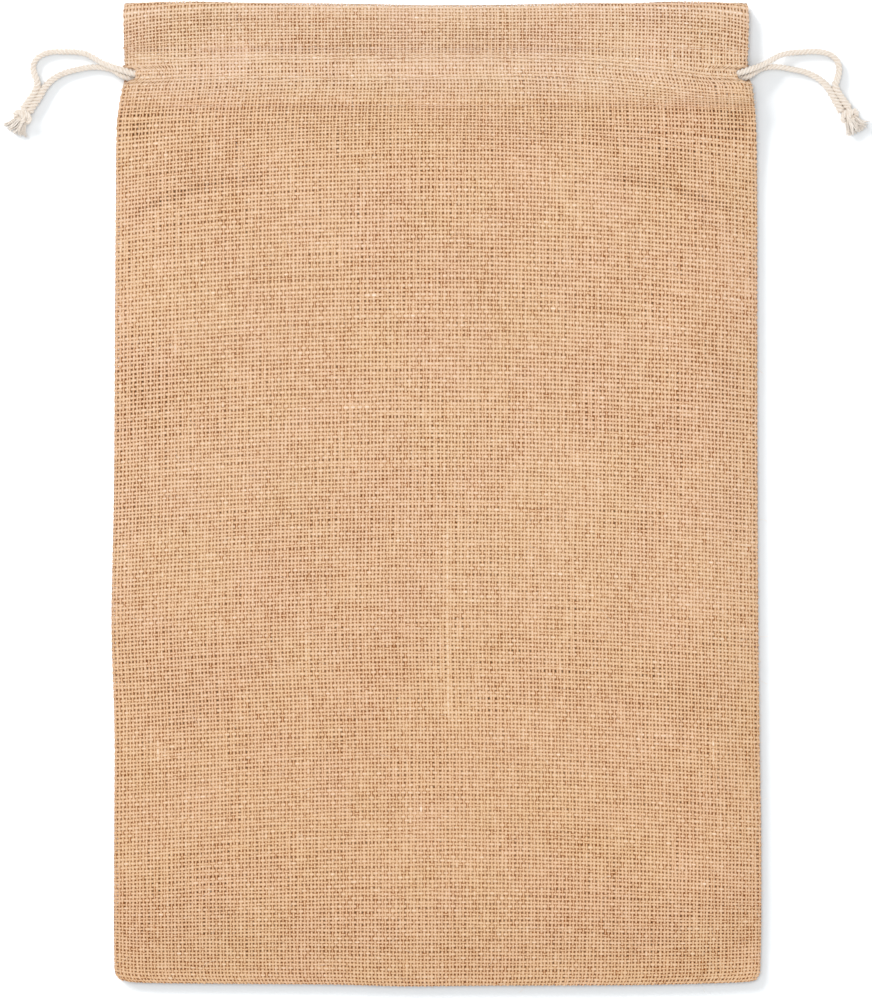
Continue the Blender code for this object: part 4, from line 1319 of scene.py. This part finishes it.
class SACK_OT_set_stage(bpy.types.Operator):
    """Puts down the floor and sets soft light from the upper left"""

    bl_idname = "sack.set_stage"
    bl_label = "Set stage"

    def execute(self, context):
        stage = context.scene.sack_stage
        bpy.ops.mesh.primitive_plane_add(size=FLOOR_SIZE, location=(0.0, 0.0, FLOOR_HEIGHT))
        floor = context.active_object
        floor.name = "studio_floor"
        floor.data.materials.append(floor_finish(stage))
        floor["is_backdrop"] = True
        self.lamp(context, "soft_lamp", stage.lamp_power, LAMP_PLACE)
        floor_lamp = self.lamp(context, "floor_lamp", stage.floor_lamp_power, FLOOR_LAMP_PLACE)
        lit = bpy.data.collections.new("lit_by_floor_lamp")
        lit.objects.link(floor)
        floor_lamp.light_linking.receiver_collection = lit
        sky = bpy.data.worlds.new("studio_light")
        sky.use_nodes = True
        background = sky.node_tree.nodes["Background"]
        background.inputs["Color"].default_value = SKY_COLOUR
        background.inputs["Strength"].default_value = stage.sky_strength
        context.scene.world = sky
        context.scene.view_settings.view_transform = "Standard"
        return {"FINISHED"}

    def lamp(self, context, name, power, place):
        """A soft square lamp that faces the sack."""
        light = bpy.data.lights.new(name, "AREA")
        light.energy, light.size = power, context.scene.sack_stage.lamp_size
        lamp = bpy.data.objects.new(name, light)
        lamp.location = place
        lamp.rotation_euler = (-lamp.location).to_track_quat("-Z", "Y").to_euler()
        context.scene.collection.objects.link(lamp)
        return lamp


STEPS = (
    SACK_OT_set_camera,
    SACK_OT_lay_drawcords,
    SACK_OT_weave_front,
    SACK_OT_weave_back,
    SACK_OT_set_stage,
)


class SACK_PT_panel(bpy.types.Panel):
    bl_idname = "SACK_PT_panel"
    bl_label = "Jute sack"
    bl_space_type = "VIEW_3D"
    bl_region_type = "UI"
    bl_category = "Jute sack"

    def draw(self, context):
        layout = self.layout
        for settings in (context.scene.sack_cloth, context.scene.sack_cords, context.scene.sack_stage):
            box = layout.box()
            for name in settings.bl_rna.properties.keys():
                if name not in ("rna_type", "name"):
                    box.prop(settings, name)
        for step in STEPS:
            layout.operator(step.bl_idname)


CLASSES = (JuteClothSettings, DrawcordSettings, StageSettings, *STEPS, SACK_PT_panel)


def register():
    for cls in CLASSES:
        bpy.utils.register_class(cls)
    bpy.types.Scene.sack_cloth = bpy.props.PointerProperty(type=JuteClothSettings)
    bpy.types.Scene.sack_cords = bpy.props.PointerProperty(type=DrawcordSettings)
    bpy.types.Scene.sack_stage = bpy.props.PointerProperty(type=StageSettings)


def unregister():
    del bpy.types.Scene.sack_stage
    del bpy.types.Scene.sack_cords
    del bpy.types.Scene.sack_cloth
    for cls in reversed(CLASSES):
        bpy.utils.unregister_class(cls)


def corners():
    return [[float(c) for c in corner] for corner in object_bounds()]


def main():
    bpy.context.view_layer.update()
    register()
    bpy.ops.sack.set_camera()
    bpy.ops.sack.lay_drawcords()
    bpy.ops.sack.weave_front()
    bpy.ops.sack.weave_back()
    bpy.ops.sack.set_stage()


if __name__ == "__main__":
    main()
